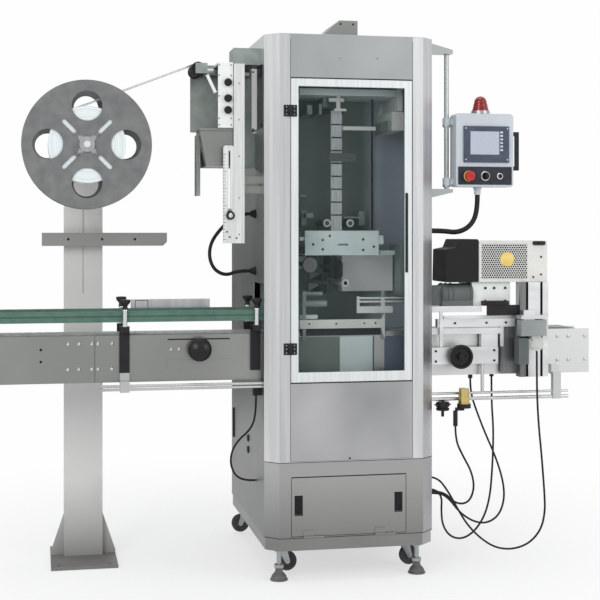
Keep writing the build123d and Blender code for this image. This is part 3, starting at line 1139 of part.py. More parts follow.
# Mandrel: guide rods, shaping head and rollers that open the flat film
with BuildPart() as mandrel:
    clamp_z = (BEAM_Z[0] - 127, BEAM_Z[0] - 112)
    for x in (123.5, 136.5):
        upright(x, 200, 3, (CUTTER_TOP, clamp_z[1]))
    bar((7, 142), (190, 210), clamp_z)
    bar((7, 23), (190, INNER_WALL_Y), clamp_z)
    bar((-56, 53), (164, 176), (1609, 1640))
    bar((37, 53), (164, INNER_WALL_Y), (1609, 1640))
    for x in (-58, 36):
        along_y(x, CUTTER_TOP + 30, 13, (186, INNER_WALL_Y))
    along_x(192, NIP_ROLLER_Z, 9, (-72, 9))
    for x_span in ((-72, -60), (0, 9)):
        bar(x_span, (192, INNER_WALL_Y), (NIP_ROLLER_Z - 8, NIP_ROLLER_Z + 8))
    bar((-58, 2), (145, 155), (BEAM_Z[0] - 20, BEAM_Z[0] - 6))
    bar((-28, -13), (145, 155), (BEAM_Z[0] - 52, BEAM_Z[0] - 20))
    bar((-36, 12), (145, 155), (BEAM_Z[0] - 56, BEAM_Z[0] - 47))
    bar((-28, -13), (145, 165), (BEAM_Z[0] - 20, BEAM_Z[0]))
mandrel.part.label = "mandrel"
export_step(mandrel.part, "parts/mandrel.step")

# Cutter head: the housing plate with its bore, the lower block and the film clamps
CUTTER_BOTTOM = 1239.0
with BuildPart() as cutter_head:
    bar((-164, 130), (96, INNER_WALL_Y), (CUTTER_BOTTOM, CUTTER_TOP))
    bar((130, 150), (100, INNER_WALL_Y), (1281, 1315))
    bar((-33, 7), (95, 116), (1276, 1284), mode=Mode.SUBTRACT)
    along_y(-66, 1314, 5, (95, 126), mode=Mode.SUBTRACT)
    bar((-185, -164), (100, 160), (1247, 1274))
    bar((-183, -164), (104, 150), (1296, 1310))
    bar((18, 228), (250, INNER_WALL_Y), (1092, CUTTER_BOTTOM))
    bar((141, 205), (130, 260), (CUTTER_BOTTOM, 1256))
    bar((-62, -37), (110, 230), (1152, CUTTER_BOTTOM))
    bar((-37, -19), (100, 200), (1147, 1220))
    bar((-87, -62), (116, 200), (1189, 1203))
    bar((-97, -72), (116, INNER_WALL_Y), (1138, 1167))
    bar((-102, -72), (124, INNER_WALL_Y), (1089, 1123))
    along_y(-2, 1130, 12, (110, INNER_WALL_Y))
cutter_head.part.label = "cutter_head"
export_step(cutter_head.part, "parts/cutter_head.step")

# Feed wheel beside the clamps, on its own spindle
FEED_X = -144.0
FEED_Z = 1201.0
with BuildPart() as feed_wheel:
    along_y(FEED_X, FEED_Z, 30, (100, 112))
    along_y(FEED_X, FEED_Z, 8, (112, INNER_WALL_Y - SEAT))
feed_wheel.part.label = "feed_wheel"
export_step(feed_wheel.part, "parts/feed_wheel.step")


def cord_tube(side, points, diameter, name):
    """A tube of straight runs and the largest arcs they allow; side is the wall that reach is taken from."""
    corners = [Vector(cx(side * (HALF_CABINET + reach)), fy(y), z) for reach, y, z in points]
    runs = [b - a for a, b in zip(corners, corners[1:])]
    radii = []
    for first, second in zip(runs, runs[1:]):
        half_turn = math.radians(first.get_angle(second)) / 2
        radii.append(0.45 * min(first.length, second.length) / math.tan(half_turn))
    with BuildLine() as route:
        FilletPolyline(*corners, radius=radii)
    path = route.wires()[0]
    with BuildSketch(Plane(origin=path @ 0, z_dir=path % 0)) as section:
        Circle(diameter / 2)
    tube = sweep(section.sketch, path=path, mode=Mode.PRIVATE)
    ratio = tube.volume / (math.pi * diameter**2 / 4 * path.length)
    print(name, "length", round(path.length), "volume ratio", round(ratio, 4))
    print("  radii", [round(radius) for radius in radii])
    return tube


under_plate = PLATE_BOTTOM - UNDER_GLAND_LENGTH
panel_bottom = PANEL_Z[0]
hose_z = RIGHT_GLANDS[0][1]
gland_reach = GLAND_X - HALF_CABINET
plug_reach = PLUG_X - HALF_CABINET
valve_reach = VALVE_X - 35 - HALF_CABINET
CORDS = {
    "hmi_hose": (20.0, 1, (
        (gland_reach, POLE_Y, panel_bottom - 30), (gland_reach, POLE_Y, panel_bottom - 100),
        (gland_reach - 29, POLE_Y, panel_bottom - 156), (gland_reach - 83, POLE_Y, panel_bottom - 182),
        (GLAND_REACH + 52, POLE_Y, hose_z), (GLAND_REACH, POLE_Y, hose_z),
    )),
    "hose_left": (14.0, -1, (
        (GLAND_REACH, 250, 1401), (72, 250, 1401), (132, 242, 1352), (180, 230, 1292), (190, 222, 1232),
        (168, 226, 1180), (120, 238, 1158), (72, 250, 1176), (GLAND_REACH, 250, 1176),
    )),
    "cable_a": (8.0, 1, (
        (valve_reach, VALVE_Y, 570), (valve_reach, VALVE_Y, 515), (130, 62, 450), (174, 82, 380),
        (190, 96, 310), (168, 106, 252), (116, 116, 250), (72, 130, 300), (GLAND_REACH, 130, 300),
    )),
    "cable_b": (8.0, 1, (
        (187, 140, under_plate), (187, 140, 690), (214, 140, 611), (250, 140, 522), (294, 141, 427),
        (326, 142, 330), (333, 144, 254), (310, 147, 188), (259, 151, 158), (203, 154, 168), (148, 158, 206),
        (106, 162, 262), (68, 165, 286), (GLAND_REACH, 165, 286),
    )),
    "cable_c": (8.0, 1, (
        (294, 190, under_plate), (294, 190, 640), (302, 190, 540), (301, 191, 440), (296, 192, 342),
        (288, 193, 256), (266, 194, 178), (223, 196, 116), (170, 197, 88), (120, 198, 102), (90, 199, 148),
        (85, 200, 206), (88, 200, 264), (58, 200, 296), (GLAND_REACH, 200, 296),
    )),
    "cable_d": (8.0, 1, (
        (plug_reach, PLUG_Y, PLUG_Z - 26), (plug_reach, PLUG_Y, 755), (416, 0, 655), (425, 6, 555),
        (438, 14, 460), (449, 24, 373), (460, 36, 291), (468, 50, 216), (458, 68, 142), (416, 90, 84),
        (355, 114, 58), (292, 138, 62), (236, 160, 98), (188, 182, 150), (154, 202, 212), (120, 219, 280),
        (76, 235, 340), (GLAND_REACH, 235, 340),
    )),
    "side_cable": (8.0, -1, (
        (SIDE_PLUG_REACH, SIDE_PLUG_Y, SIDE_PLUG_Z), (SIDE_PLUG_REACH, SIDE_PLUG_Y, 618), (40, 150, 560),
        (76, 200, 518), (100, 240, 462), (98, 262, 398), (60, 270, 344), (0, 270, 344),
    )),
}
for cord_name, (diameter, side, points) in CORDS.items():
    tube = cord_tube(side, points, diameter, cord_name)
    tube.label = cord_name
    export_step(tube, "parts/" + cord_name + ".step")
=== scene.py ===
"""A film sleeve labelling machine, dressed for a studio picture.

Places are given as millimetres from the middle of the cabinet's front, on the floor, and
place() turns them into the model's metres. Finishes come first, then the carried-over pieces
get theirs. Screws, the perforated guard, the small pieces, the cords, the studio and the
camera follow.
"""
import math

import bmesh
import bpy
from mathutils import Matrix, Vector


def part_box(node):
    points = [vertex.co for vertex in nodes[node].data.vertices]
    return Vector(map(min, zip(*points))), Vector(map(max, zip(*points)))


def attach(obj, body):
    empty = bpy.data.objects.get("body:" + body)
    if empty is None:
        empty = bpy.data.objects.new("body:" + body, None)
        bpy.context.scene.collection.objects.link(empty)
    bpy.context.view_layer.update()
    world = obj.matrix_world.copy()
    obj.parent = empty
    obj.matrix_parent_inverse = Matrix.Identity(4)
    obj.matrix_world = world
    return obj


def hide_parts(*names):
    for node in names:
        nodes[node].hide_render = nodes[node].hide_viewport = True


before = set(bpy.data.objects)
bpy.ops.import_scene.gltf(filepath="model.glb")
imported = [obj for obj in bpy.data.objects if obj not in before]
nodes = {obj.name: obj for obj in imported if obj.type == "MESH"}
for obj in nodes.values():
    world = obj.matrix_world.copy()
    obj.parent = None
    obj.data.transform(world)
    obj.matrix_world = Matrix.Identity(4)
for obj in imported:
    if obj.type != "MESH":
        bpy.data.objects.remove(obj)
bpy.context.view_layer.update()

door_low, door_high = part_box("door_frame")
FRONT = Vector(((door_low.x + door_high.x) / 2, door_low.y, 0.0))


def place(x, y, z):
    """A point, from millimetres off the cabinet's front middle to the model's metres."""
    return FRONT + Vector((x, y, z)) / 1000


def linear(code):
    """A hex colour as the eye sees it, turned into the light values that shaders take."""
    parts = [int(code[i:i + 2], 16) / 255 for i in (1, 3, 5)]
    return tuple(p / 12.92 if p <= 0.04045 else ((p + 0.055) / 1.055) ** 2.4 for p in parts) + (1.0,)


def add(tree, kind, inputs=None, **settings):
    """Adds a node with its settings, and feeds its inputs with values or other nodes' outputs."""
    node = tree.nodes.new(kind)
    for name, value in settings.items():
        setattr(node, name, value)
    for socket, value in (inputs or {}).items():
        if isinstance(value, bpy.types.NodeSocket):
            tree.links.new(value, node.inputs[socket])
        else:
            node.inputs[socket].default_value = value
    return node


def start_finish(name, **constants):
    """A new material with its shader, whose constant values sit on the shader's own sockets."""
    material = bpy.data.materials.new(name)
    material.use_nodes = True
    tree = material.node_tree
    shader = tree.nodes["Principled BSDF"]
    for socket, value in constants.items():
        shader.inputs[socket.replace("_", " ")].default_value = value
    return material, tree, shader


def field(tree, size_mm, detail=2.0, rough=0.5):
    """A soft random field over the piece, with blotches of the given millimetres along X, Y and Z."""
    coordinates = add(tree, "ShaderNodeTexCoord")
    sized = add(tree, "ShaderNodeMapping", {
        "Vector": coordinates.outputs["Object"],
        "Scale": [1000 / size for size in size_mm],
    })
    noise = add(tree, "ShaderNodeTexNoise", {
        "Vector": sized.outputs["Vector"], "Scale": 1.0, "Detail": detail, "Roughness": rough,
    })
    return noise.outputs["Fac"]


def tint(tree, shader, factor, low, high, spread=(0.3, 0.7)):
    """Colours the shader between two hex tones along a field."""
    ramp = add(tree, "ShaderNodeValToRGB", {"Fac": factor})
    ramp.color_ramp.elements[0].position = spread[0]
    ramp.color_ramp.elements[0].color = linear(low)
    ramp.color_ramp.elements[1].position = spread[1]
    ramp.color_ramp.elements[1].color = linear(high)
    tree.links.new(ramp.outputs["Color"], shader.inputs["Base Color"])


def dull(tree, shader, factor, low, high):
    """Varies the shader's roughness between two values along a field."""
    span = add(tree, "ShaderNodeMapRange", {"Value": factor, "To Min": low, "To Max": high})
    tree.links.new(span.outputs["Result"], shader.inputs["Roughness"])


def relief(tree, shader, factor, height_mm, strength=0.5):
    """Raises the surface by a field, in millimetres."""
    bump = add(tree, "ShaderNodeBump", {
        "Height": factor, "Distance": height_mm / 1000, "Strength": strength,
    })
    tree.links.new(bump.outputs["Normal"], shader.inputs["Normal"])


def place_share(tree, axis, low_mm, high_mm):
    """0 at one place along an axis and 1 at another, with a soft cloud that breaks up the change: the share
    for a painted gradient of light and shade.
    """
    coordinates = add(tree, "ShaderNodeTexCoord")
    axes = add(tree, "ShaderNodeSeparateXYZ", {"Vector": coordinates.outputs["Object"]})
    start = place(low_mm, low_mm, low_mm)["XYZ".index(axis)]
    level = add(tree, "ShaderNodeMapRange", {
        "Value": axes.outputs[axis], "From Min": start, "From Max": start + (high_mm - low_mm) / 1000,
    })
    cloud = field(tree, (320, 320, 420))
    return add(tree, "ShaderNodeMath", {
        0: cloud, 1: 0.35, 2: level.outputs["Result"]}, operation="MULTIPLY_ADD").outputs["Value"]


def clouded(name, dark, light, cloud_mm, detail, rough, grain=None, painted_light_levels=None, **constants):
    """A finish whose colour and roughness follow soft clouds, or whose colour follows its place as a
    painted gradient of light and shade.
    """
    material, tree, shader = start_finish(name, **constants)
    clouds = field(tree, cloud_mm, detail)
    if painted_light_levels:
        tint(tree, shader, place_share(tree, *painted_light_levels), dark, light, (0.15, 1.15))
    else:
        tint(tree, shader, clouds, dark, light)
    dull(tree, shader, clouds, *rough)
    if grain:
        grain_mm, grain_detail, grain_rough, height_mm, strength = grain
        relief(tree, shader, field(tree, grain_mm, grain_detail, grain_rough), height_mm, strength)
    return material


UPRIGHT_GRAIN = (4, 4, 160)
LINE_GRAIN = (160, 4, 4)
# Long upright streaks of painted reflection on the brushed stainless
REFLECTION_STREAKS = (26, 26, 900)


# Brushed stainless sheet: the belt's scratches are finer than the picture shows, so they are drawn
# a few millimetres wide and faint; the sheet's reflection of its surroundings is painted into its
# colour as broad soft clouds, or as long upright streaks.
def brushed(name, dark, light, grain_mm=UPRIGHT_GRAIN, roughness=0.34, painted_light_levels=None,
            cloud_mm=(300, 300, 420)):
    return clouded(name, dark, light, cloud_mm, 2.0, (roughness - 0.05, roughness + 0.07),
                   (grain_mm, 4.0, 0.65, 0.012, 0.2), painted_light_levels, Metallic=1.0)


# Anodised aluminium: an even, slightly milky satin with faint die lines along its length.
def anodised(name, dark, light, grain_mm, roughness):
    return clouded(name, dark, light, grain_mm, 2.0, (roughness - 0.04, roughness + 0.05),
                   (grain_mm, 2.0, 0.5, 0.004, 0.15), Metallic=0.9)


# Powder coat on steel: a fine orange peel that breaks up the highlight, colour nearly even.
def powder_coat(name, dark, light, roughness, painted_light_levels=None):
    return clouded(name, dark, light, (180, 180, 180), 3.0, (roughness - 0.05, roughness + 0.08),
                   ((2.5, 2.5, 2.5), 1.0, 0.5, 0.08, 0.4), painted_light_levels, Metallic=0.0, IOR=1.5)


# Bead-blasted plates inside the cabinet: dull and pale, lit only through the door, so that they
# read by their own tone, which is partly their own and partly painted light; where a place is given,
# its change from one end of a plate to the other is painted light and shade.
def blasted(name, dark, light, roughness, painted_light_levels=None):
    return clouded(name, dark, light, (120, 120, 120), 3.0, (roughness - 0.05, roughness + 0.08),
                   painted_light_levels=painted_light_levels, Metallic=0.15, IOR=1.5)


# Moulded plastic: a spark-eroded grain, rubbed a little shinier in places by handling.
def moulded(name, dark, light, roughness, grain=1.6):
    return clouded(name, dark, light, (40, 40, 40), 3.0, (roughness - 0.08, roughness + 0.08),
                   ((grain, grain, grain), 2.0, 0.5, 0.05, 0.4), IOR=1.49, Specular_IOR_Level=0.3)


# Rubber: dull, with a bloom that greys it unevenly.
def rubber(name, dark, light):
    return clouded(name, dark, light, (25, 25, 25), 4.0, (0.55, 0.75),
                   ((1.2, 1.2, 1.2), 2.0, 0.5, 0.05, 0.4), IOR=1.52, Specular_IOR_Level=0.3)


# Turned and plated steel: bright, with fine turning marks that soften its reflections.
def plated(name, dark, light, roughness):
    return clouded(name, dark, light, (3, 3, 3), 3.0, (roughness, roughness + 0.12), Metallic=1.0)


# Grey-green tinted acrylic: the works inside stay visible, and a thin glare lies over it.
def tinted(name, dark, light, clearness):
    return clouded(name, dark, light, (300, 300, 500), 2.0, (0.03, 0.07), IOR=1.49,
                   Alpha=1.0 - clearness)


# Shrink film: thin clear plastic, milky where it lies in layers.
def film_like(name, dark, light, clearness):
    creases_mm = (6, 60, 60)
    return clouded(name, dark, light, creases_mm, 3.0, (0.18, 0.34),
                   (creases_mm, 3.0, 0.5, 0.3, 0.4), IOR=1.46, Alpha=1.0 - clearness)


# Coloured clear plastic of a lamp or stop button: deep colour, a wet gloss.
def glossy(name, dark, light, roughness):
    return clouded(name, dark, light, (14, 14, 6), 1.0, (roughness, roughness + 0.08), IOR=1.49,
                   Coat_Weight=0.35, Specular_IOR_Level=0.35)


# Film wound on a reel: its edges show as fine rings round the shaft, now and then one proud.
def wound_film(name, dark, light, centre):
    material, tree, shader = start_finish(name, IOR=1.46)
    coordinates = add(tree, "ShaderNodeTexCoord")
    centred = add(tree, "ShaderNodeVectorMath", {
        0: coordinates.outputs["Object"], 1: centre,
    }, operation="SUBTRACT")
    flat = add(tree, "ShaderNodeVectorMath", {
        0: centred.outputs["Vector"], 1: (1.0, 0.0, 1.0),
    }, operation="MULTIPLY")
    radius = add(tree, "ShaderNodeVectorMath", {0: flat.outputs["Vector"]}, operation="LENGTH")
    rings = add(tree, "ShaderNodeTexNoise", {
        "W": radius.outputs["Value"], "Scale": 1000 / 4, "Detail": 3.0,
    }, noise_dimensions="1D")
    tint(tree, shader, rings.outputs["Fac"], dark, light)
    dull(tree, shader, rings.outputs["Fac"], 0.25, 0.4)
    relief(tree, shader, rings.outputs["Fac"], 0.6, 0.5)
    return material


stainless = brushed("brushed_stainless_sheet", "#a9abad", "#babcbe")
# Lit and shaded copies of the one brushed stainless, one for each face: the jamb and left corner copies are
# lighter, painted light, and the header and panel copies darker, painted shade
jamb_steel_lit = brushed("brushed_stainless_jamb_lit", "#b4b5b7", "#cacbcd", cloud_mm=REFLECTION_STREAKS)
header_steel_shaded = brushed("brushed_stainless_header_shaded", "#999e9e", "#a9adad")
panel_steel_shaded = brushed("brushed_stainless_panel_shaded", "#97989a", "#b3b3b5")
# The base's stainless is painted darker towards the bottom: painted shade
base_steel_shaded_below = brushed("brushed_stainless_base", "#828280", "#a1a1a0",
    roughness=0.36, painted_light_levels=("Z", 170, 460))
base_corner_steel_shaded_below = brushed("brushed_stainless_base_corner", "#828382", "#adaeae",
    roughness=0.36, painted_light_levels=("Z", 150, 480))
left_corner_steel_lit = brushed("brushed_stainless_left_corner_lit", "#c1c2c3", "#dadbdc",
    roughness=0.3, cloud_mm=REFLECTION_STREAKS)
# The left wall: a darker copy of the stainless as painted shade, darker still towards the bottom
shaded_side_steel = brushed("brushed_stainless_left_side_shaded", "#7b7d7c", "#bfc4c2",
    roughness=0.4, painted_light_levels=("Z", 350, 1550))
# The conveyor frame's stainless is painted darker at its left end and lighter to its right: painted light
# and shade
line_steel_painted_light = brushed("brushed_stainless_line", "#888a87", "#cbcccc", LINE_GRAIN, 0.36,
    painted_light_levels=("X", -330, 500))
rod_steel = brushed("ground_steel_rod", "#a9abaa", "#cfd1d0", LINE_GRAIN, 0.25)
door_metal = anodised("anodised_door_frame", "#cfd3d4", "#dde1e2", (7, 7, 300), 0.42)
profile_metal = anodised("anodised_profile", "#c3c5c5", "#d9dbdb", (220, 7, 60), 0.38)
grey_profile = anodised("anodised_profile_column", "#6a6b6c", "#7c7d7f", (7, 7, 220), 0.4)
feeder_metal = anodised("anodised_feeder_bar", "#c9cccb", "#dcdedd", (7, 7, 200), 0.4)
feeder_sheet = anodised("feeder_back_sheet", "#7f8783", "#98a09c", (60, 60, 60), 0.5)
tray_steel = brushed("brushed_feeder_tray", "#7a7d7a", "#8d908d", roughness=0.42)
stainless_inside = blasted("blasted_inner_steel", "#7f908a", "#96a5a0", 0.45)
# The mounting wall is painted darker at its left and lighter to its right: painted light from the door
backing_steel_painted_light = blasted("blasted_mounting_wall_painted_light", "#6c7d76", "#a8b5c2", 0.5, ("X", 120, 200))
inside_plate = blasted("blasted_cutter_plate", "#c6d8d8", "#dbe8e8", 0.4)
clamp_metal = blasted("blasted_clamp", "#d5dad4", "#eceeea", 0.4)
line_plate = blasted("blasted_line_plate", "#64736d", "#75837d", 0.45)
line_end_plate = blasted("blasted_line_end", "#5a6478", "#667084", 0.45)
# The rear plate is painted near white, lighter than its own tone: painted light
rear_plate_lightened = blasted("blasted_rear_plate_lightened", "#f6f9fa", "#fefefe", 0.45)
pale_paint = powder_coat("pale_grey_powder_coat", "#cfcecc", "#dbdad8", 0.5)
# The column's coat is painted darker towards the floor: painted shade
column_paint_shaded_below = powder_coat("pale_grey_column_coat", "#8a8987", "#d4d3d1", 0.5, ("Z", 0, 420))
stand_paint = powder_coat("grey_powder_coat", "#6b6967", "#7b7977", 0.5)
white_paint = powder_coat("white_powder_coat", "#d9dcda", "#e6e9e7", 0.42)
box_paint = powder_coat("blue_grey_powder_coat", "#b4bac1", "#c3c9cf", 0.4)
motor_paint = powder_coat("motor_grey_paint", "#464b4c", "#5a5f60", 0.48)
box_motor_paint = powder_coat("box_motor_grey_paint", "#85898a", "#979b9b", 0.48)
plug_plastic = moulded("light_grey_plug", "#b3b4b1", "#c6c7c4", 0.45)
hood_paint = moulded("black_hood_plastic", "#090a0a", "#111212", 0.6)
guard_paint = powder_coat("guard_pale_paint", "#cfcfcb", "#dddcd8", 0.45)
black_plastic = moulded("black_moulded_nylon", "#101011", "#1b1c1e", 0.5)
bezel_plastic = moulded("dark_blue_bezel", "#3a4252", "#485163", 0.4)
strip_plastic = moulded("black_control_strip", "#1c1f26", "#2a2e37", 0.35)
disc_plastic = moulded("grey_pvc_disc", "#68696a", "#787978", 0.5, 3.0)
# The rear disc: a darker copy of the front disc's grey PVC, painted shade
rear_disc_plastic_shaded = moulded("grey_pvc_disc_rear_shaded", "#585a59", "#686a69", 0.55, 3.0)
rail_plastic = moulded("green_slide_rail", "#48655a", "#557366", 0.42, 2.5)
chain_plastic = moulded("grey_acetal_slat", "#8b8f8d", "#a3a7a5", 0.4, 2.0)
foot_plastic = moulded("foot_grey_nylon", "#585958", "#6b6c6b", 0.45)
knob_plastic = moulded("black_phenolic_knob", "#0b0b0c", "#151617", 0.32)
stop_plastic = glossy("red_stop_button", "#a01417", "#c9242a", 0.22)
lens_plastic = glossy("red_beacon_lens", "#6a0d15", "#a81c26", 0.15)
yellow_plastic = moulded("yellow_plate", "#d9ba58", "#ead388", 0.45)
screen_plastic = glossy("pale_screen", "#adb4c1", "#b4bbc7", 0.1)
key_plastic = moulded("light_key", "#b9bfc6", "#d3d8dc", 0.4)
black_rubber = rubber("black_rubber", "#0f0f10", "#1a1a1b")
wheel_rubber = rubber("grey_tread_rubber", "#3a3b3d", "#4c4d4f")
# Dark seals and joints, and also the painted shade in the base door's gaps
seal_and_gap_shade_rubber = rubber("black_seam_seal_and_gap_shade", "#0c0c0d", "#17181a")
bright_steel = plated("bright_turned_steel", "#b9bcbd", "#dfe1e1", 0.12)
zinc_steel = plated("zinc_plated_steel", "#8f9294", "#b0b3b5", 0.28)
dark_steel = plated("blackened_steel", "#1f2022", "#333537", 0.35)
brass = plated("brass", "#b39c58", "#d2c188", 0.25)
door_tint = tinted("tinted_acrylic_door", "#1d2c2a", "#2b3b3b", 0.84)
side_tint = tinted("smoked_acrylic_window", "#101314", "#23282b", 0.06)
web_film = film_like("shrink_film_web", "#c9d2d4", "#eef3f4", 0.35)
roll_film = wound_film("shrink_film_roll", "#c3cccf", "#eef2f3", place(-995, 0, 1659))


def finish(name, material, *others):
    """Gives a carried-over piece one finish, and others to what lies in their boxes."""
    mesh = nodes[name].data
    mesh.materials.clear()
    mesh.materials.append(material)
    boxes = []
    for index, (other, low, high) in enumerate(others, start=1):
        mesh.materials.append(other)
        boxes.append((index, place(*low), place(*high)))
    for polygon in mesh.polygons:
        for index, low, high in boxes:
            if all(low[i] <= polygon.center[i] <= high[i] for i in range(3)):
                polygon.material_index = index


finish("hmi_pole", header_steel_shaded)
finish("conveyor_frame", line_steel_painted_light)
finish("tie_rods", rod_steel)
for corner in ("front_left", "front_right", "rear_left", "rear_right"):
    finish("caster_fork_" + corner, zinc_steel)
    finish("caster_wheel_" + corner, wheel_rubber)
for name, material in (
    ("latch_left", dark_steel), ("latch_right", dark_steel), ("side_window", side_tint),
    ("cabinet_fittings", black_plastic), ("door_frame", door_metal), ("door_glass", door_tint),
    ("door_fittings", black_plastic), ("slat_chain", chain_plastic), ("guide_rails", rail_plastic),
    ("conveyor_knob", knob_plastic), ("tray_bar", line_steel_painted_light),
    ("entry_roller", black_rubber), ("film", web_film), ("film_roll", roll_film),
    ("hmi_box", box_paint), ("hmi_screen", screen_plastic), ("emergency_stop", stop_plastic),
    ("selector", dark_steel), ("base_door", base_steel_shaded_below),
    ("unit_hood", hood_paint), ("unit_guard", guard_paint), ("handwheel", knob_plastic),
    ("feed_wheel", black_rubber),
):
    finish(name, material)

# The sheets' faces get the lit and shaded copies of the stainless: painted light and shade by face
LEFT_SIDE = ((-334, -10, 0), (-330, 960, 2200))
LEFT_CORNER = ((-331, 1, 0), (-282.5, 49, 2200))
RIGHT_CORNER = ((282.5, 1, 0), (331, 49, 2200))
JAMB_LEFT = ((-283, -1, 0), (-239, 1, 2200))
JAMB_RIGHT = ((239, -1, 0), (283, 1, 2200))
for sheet in ("base_cabinet", "plinth"):
    finish(sheet, base_steel_shaded_below, (shaded_side_steel, *LEFT_SIDE), (base_corner_steel_shaded_below, *LEFT_CORNER),
        (panel_steel_shaded, *RIGHT_CORNER))
finish("cabinet_shell", stainless, (shaded_side_steel, *LEFT_SIDE), (left_corner_steel_lit, *LEFT_CORNER),
    (jamb_steel_lit, *RIGHT_CORNER), (jamb_steel_lit, *JAMB_LEFT), (left_corner_steel_lit, *JAMB_RIGHT))
finish("front_panels", panel_steel_shaded, (header_steel_shaded, (-245, -1, 1900), (245, 25, 2090)),
    (tray_steel, (-110, 95, 2080), (50, 335, 2160)))
finish("inner_frame", stainless_inside, (backing_steel_painted_light, (-305, 329, 400), (305, 337, 2000)),
    (inside_plate, (-190, 90, 1850), (210, 331, 1890)),
    (white_paint, (180, 90, 1720), (235, 331, 1900)),
    (clamp_metal, (-190, 90, 955), (160, 106, 990)),
    (bright_steel, (40, 96, 1050), (230, 106, 1080)),
    (white_paint, (43, 96, 1012), (188, 106, 1079)))
finish("mandrel", clamp_metal, (motor_paint, (-75, 184, 1346), (53, 331, 1382)),
    (motor_paint, (-58, 160, 1605), (54, 180, 1645)),
    (black_plastic, (-75, 180, 1790), (12, 331, 1816)),
    (grey_profile, (120, 196, 1330), (140, 204, 1750)))
finish("cutter_head", inside_plate, (clamp_metal, (-105, 99, 1080), (20, 331, 1238.5)),
    (black_plastic, (-186, 99, 1246), (-164, 161, 1275)),
    (rear_plate_lightened, (17, 249, 1090), (229, 331, 1238)),
    (dark_steel, (-103, 99, 1080), (-18, 240, 1236)))
finish("reel", disc_plastic, (rear_disc_plastic_shaded, (-1300, 200, 1300), (-700, 260, 2000)),
    (zinc_steel, (-1026, 100, 1628), (-964, 118, 1690)))
finish("reel_stand", column_paint_shaded_below, (stand_paint, (-1200, 340, -1), (-800, 740, 12.5)))
finish("levelling_feet", foot_plastic, (zinc_steel, (-400, 0, 46), (400, 1000, 130)))
finish("rail_brackets", black_plastic, (bright_steel, (-900, 0, 974), (-300, 400, 1038)),
    (jamb_steel_lit, (-830, 284, 990), (-500, 300, 1070)))
finish("feeder_box", feeder_sheet, (zinc_steel, (-550, 225, 1930), (-355, 265, 1975)),
    (tray_steel, (-580, 120, 1570), (-436, 261, 1730)))
finish("feeder_plates", feeder_metal, (white_paint, (-503, 111, 1722), (-441, 119, 1985)),
    (black_plastic, (-480, 98, 1780), (-448, 111.9, 1920)),
    (black_plastic, (-478, 80, 1370), (-428, 100.1, 1412)),
    (tray_steel, (-440, 127, 1470), (-330, 151, 1550)))
finish("hmi_panel", bezel_plastic, (strip_plastic, (450, 80, 1510), (680, 100, 1592)),
    (black_plastic, (684, 100, 1570), (720, 150, 1740)))
finish("beacon", lens_plastic, (zinc_steel, (500, 60, 1799), (620, 200, 1812)))
finish("unit_frame", profile_metal, (grey_profile, (620, 79, 760), (700, 93, 992)))
finish("unit_motors", motor_paint, (white_paint, (506, 80, 1037), (667, 252, 1132)),
    (box_motor_paint, (679, -20, 920), (790, 43, 985)),
    (profile_metal, (679, -20, 985), (790, 43, 1030)))
finish("unit_column", profile_metal, (grey_profile, (690, 40, 750), (715, 60, 1140)),
    (dark_steel, (715, 42.5, 750), (727.5, 50.5, 1140)),
    (dark_steel, (776, 42.5, 750), (788, 50.5, 1140)))
finish("unit_fittings", black_plastic, (brass, (436, 18, 656), (486, 70, 720)),
    (plug_plastic, (708, -20, 860), (772, 43, 920)),
    (motor_paint, (667, -20, 810), (710, 43, 915)))


# Ways that an axis or a screw's head can point
FRONT_WAYS = (0, -1, 0)
REAR_WAYS = (0, 1, 0)
LEFT_WAYS = (-1, 0, 0)
RIGHT_WAYS = (1, 0, 0)
UPWARDS = (0, 0, 1)


def round_edges(form, verts, edge):
    """Rounds the edges between a form's given corners."""
    edges = list({line for vert in verts for line in vert.link_edges})
    bmesh.ops.bevel(form, geom=edges, offset=edge / 1000, segments=2, affect="EDGES")


def block(form, xs, ys, zs, edge=1.0):
    """Adds a block with rounded edges to a form, its spans in millimetres."""
    verts = bmesh.ops.create_cube(form, size=1.0)["verts"]
    low, high = place(xs[0], ys[0], zs[0]), place(xs[1], ys[1], zs[1])
    for vert in verts:
        vert.co = Vector(low[i] + (vert.co[i] + 0.5) * (high[i] - low[i]) for i in range(3))
    round_edges(form, verts, edge)


def slanted(form, start, end, wide, deep):
    """Adds a bar with rounded edges between two points that lie in one plane facing the front."""
    low, high = place(*start), place(*end)
    along, inwards = high - low, Vector(REAR_WAYS)
    side = along.normalized().cross(inwards)
    verts = bmesh.ops.create_cube(form, size=1.0)["verts"]
    for vert in verts:
        vert.co = ((low + high) / 2 + along * vert.co.x + side * vert.co.y * wide / 1000
                   + inwards * vert.co.z * deep / 1000)
    round_edges(form, verts, 2.0)


def turned(form, profile, where, steps, axis=FRONT_WAYS):
    """Adds a turned shape to a form: pairs of radius and height in millimetres, spun round an axis."""
    centre, axis = place(*where), Vector(axis).normalized()
    side = axis.orthogonal().normalized()
    other = axis.cross(side)
    rings = []
    closed = profile[0] == profile[-1]
    for radius, height in profile[:-1] if closed else profile:
        spots = steps if radius else 1
        rings.append([form.verts.new(centre + axis * height / 1000 + radius / 1000 * (
            side * math.cos(2 * math.pi * i / steps) + other * math.sin(2 * math.pi * i / steps)))
            for i in range(spots)])
    if closed:
        rings.append(rings[0])
    for lower, upper in zip(rings, rings[1:]):
        for i in range(steps):
            corners = (lower[i % len(lower)], lower[(i + 1) % len(lower)],
                       upper[(i + 1) % len(upper)], upper[i % len(upper)])
            form.faces.new(list(dict.fromkeys(corners)))


def show(name, data):
    """Puts a new object with the given mesh, curve, lamp or camera into the scene."""
    item = bpy.data.objects.new(name, data)
    bpy.context.scene.collection.objects.link(item)
    return item


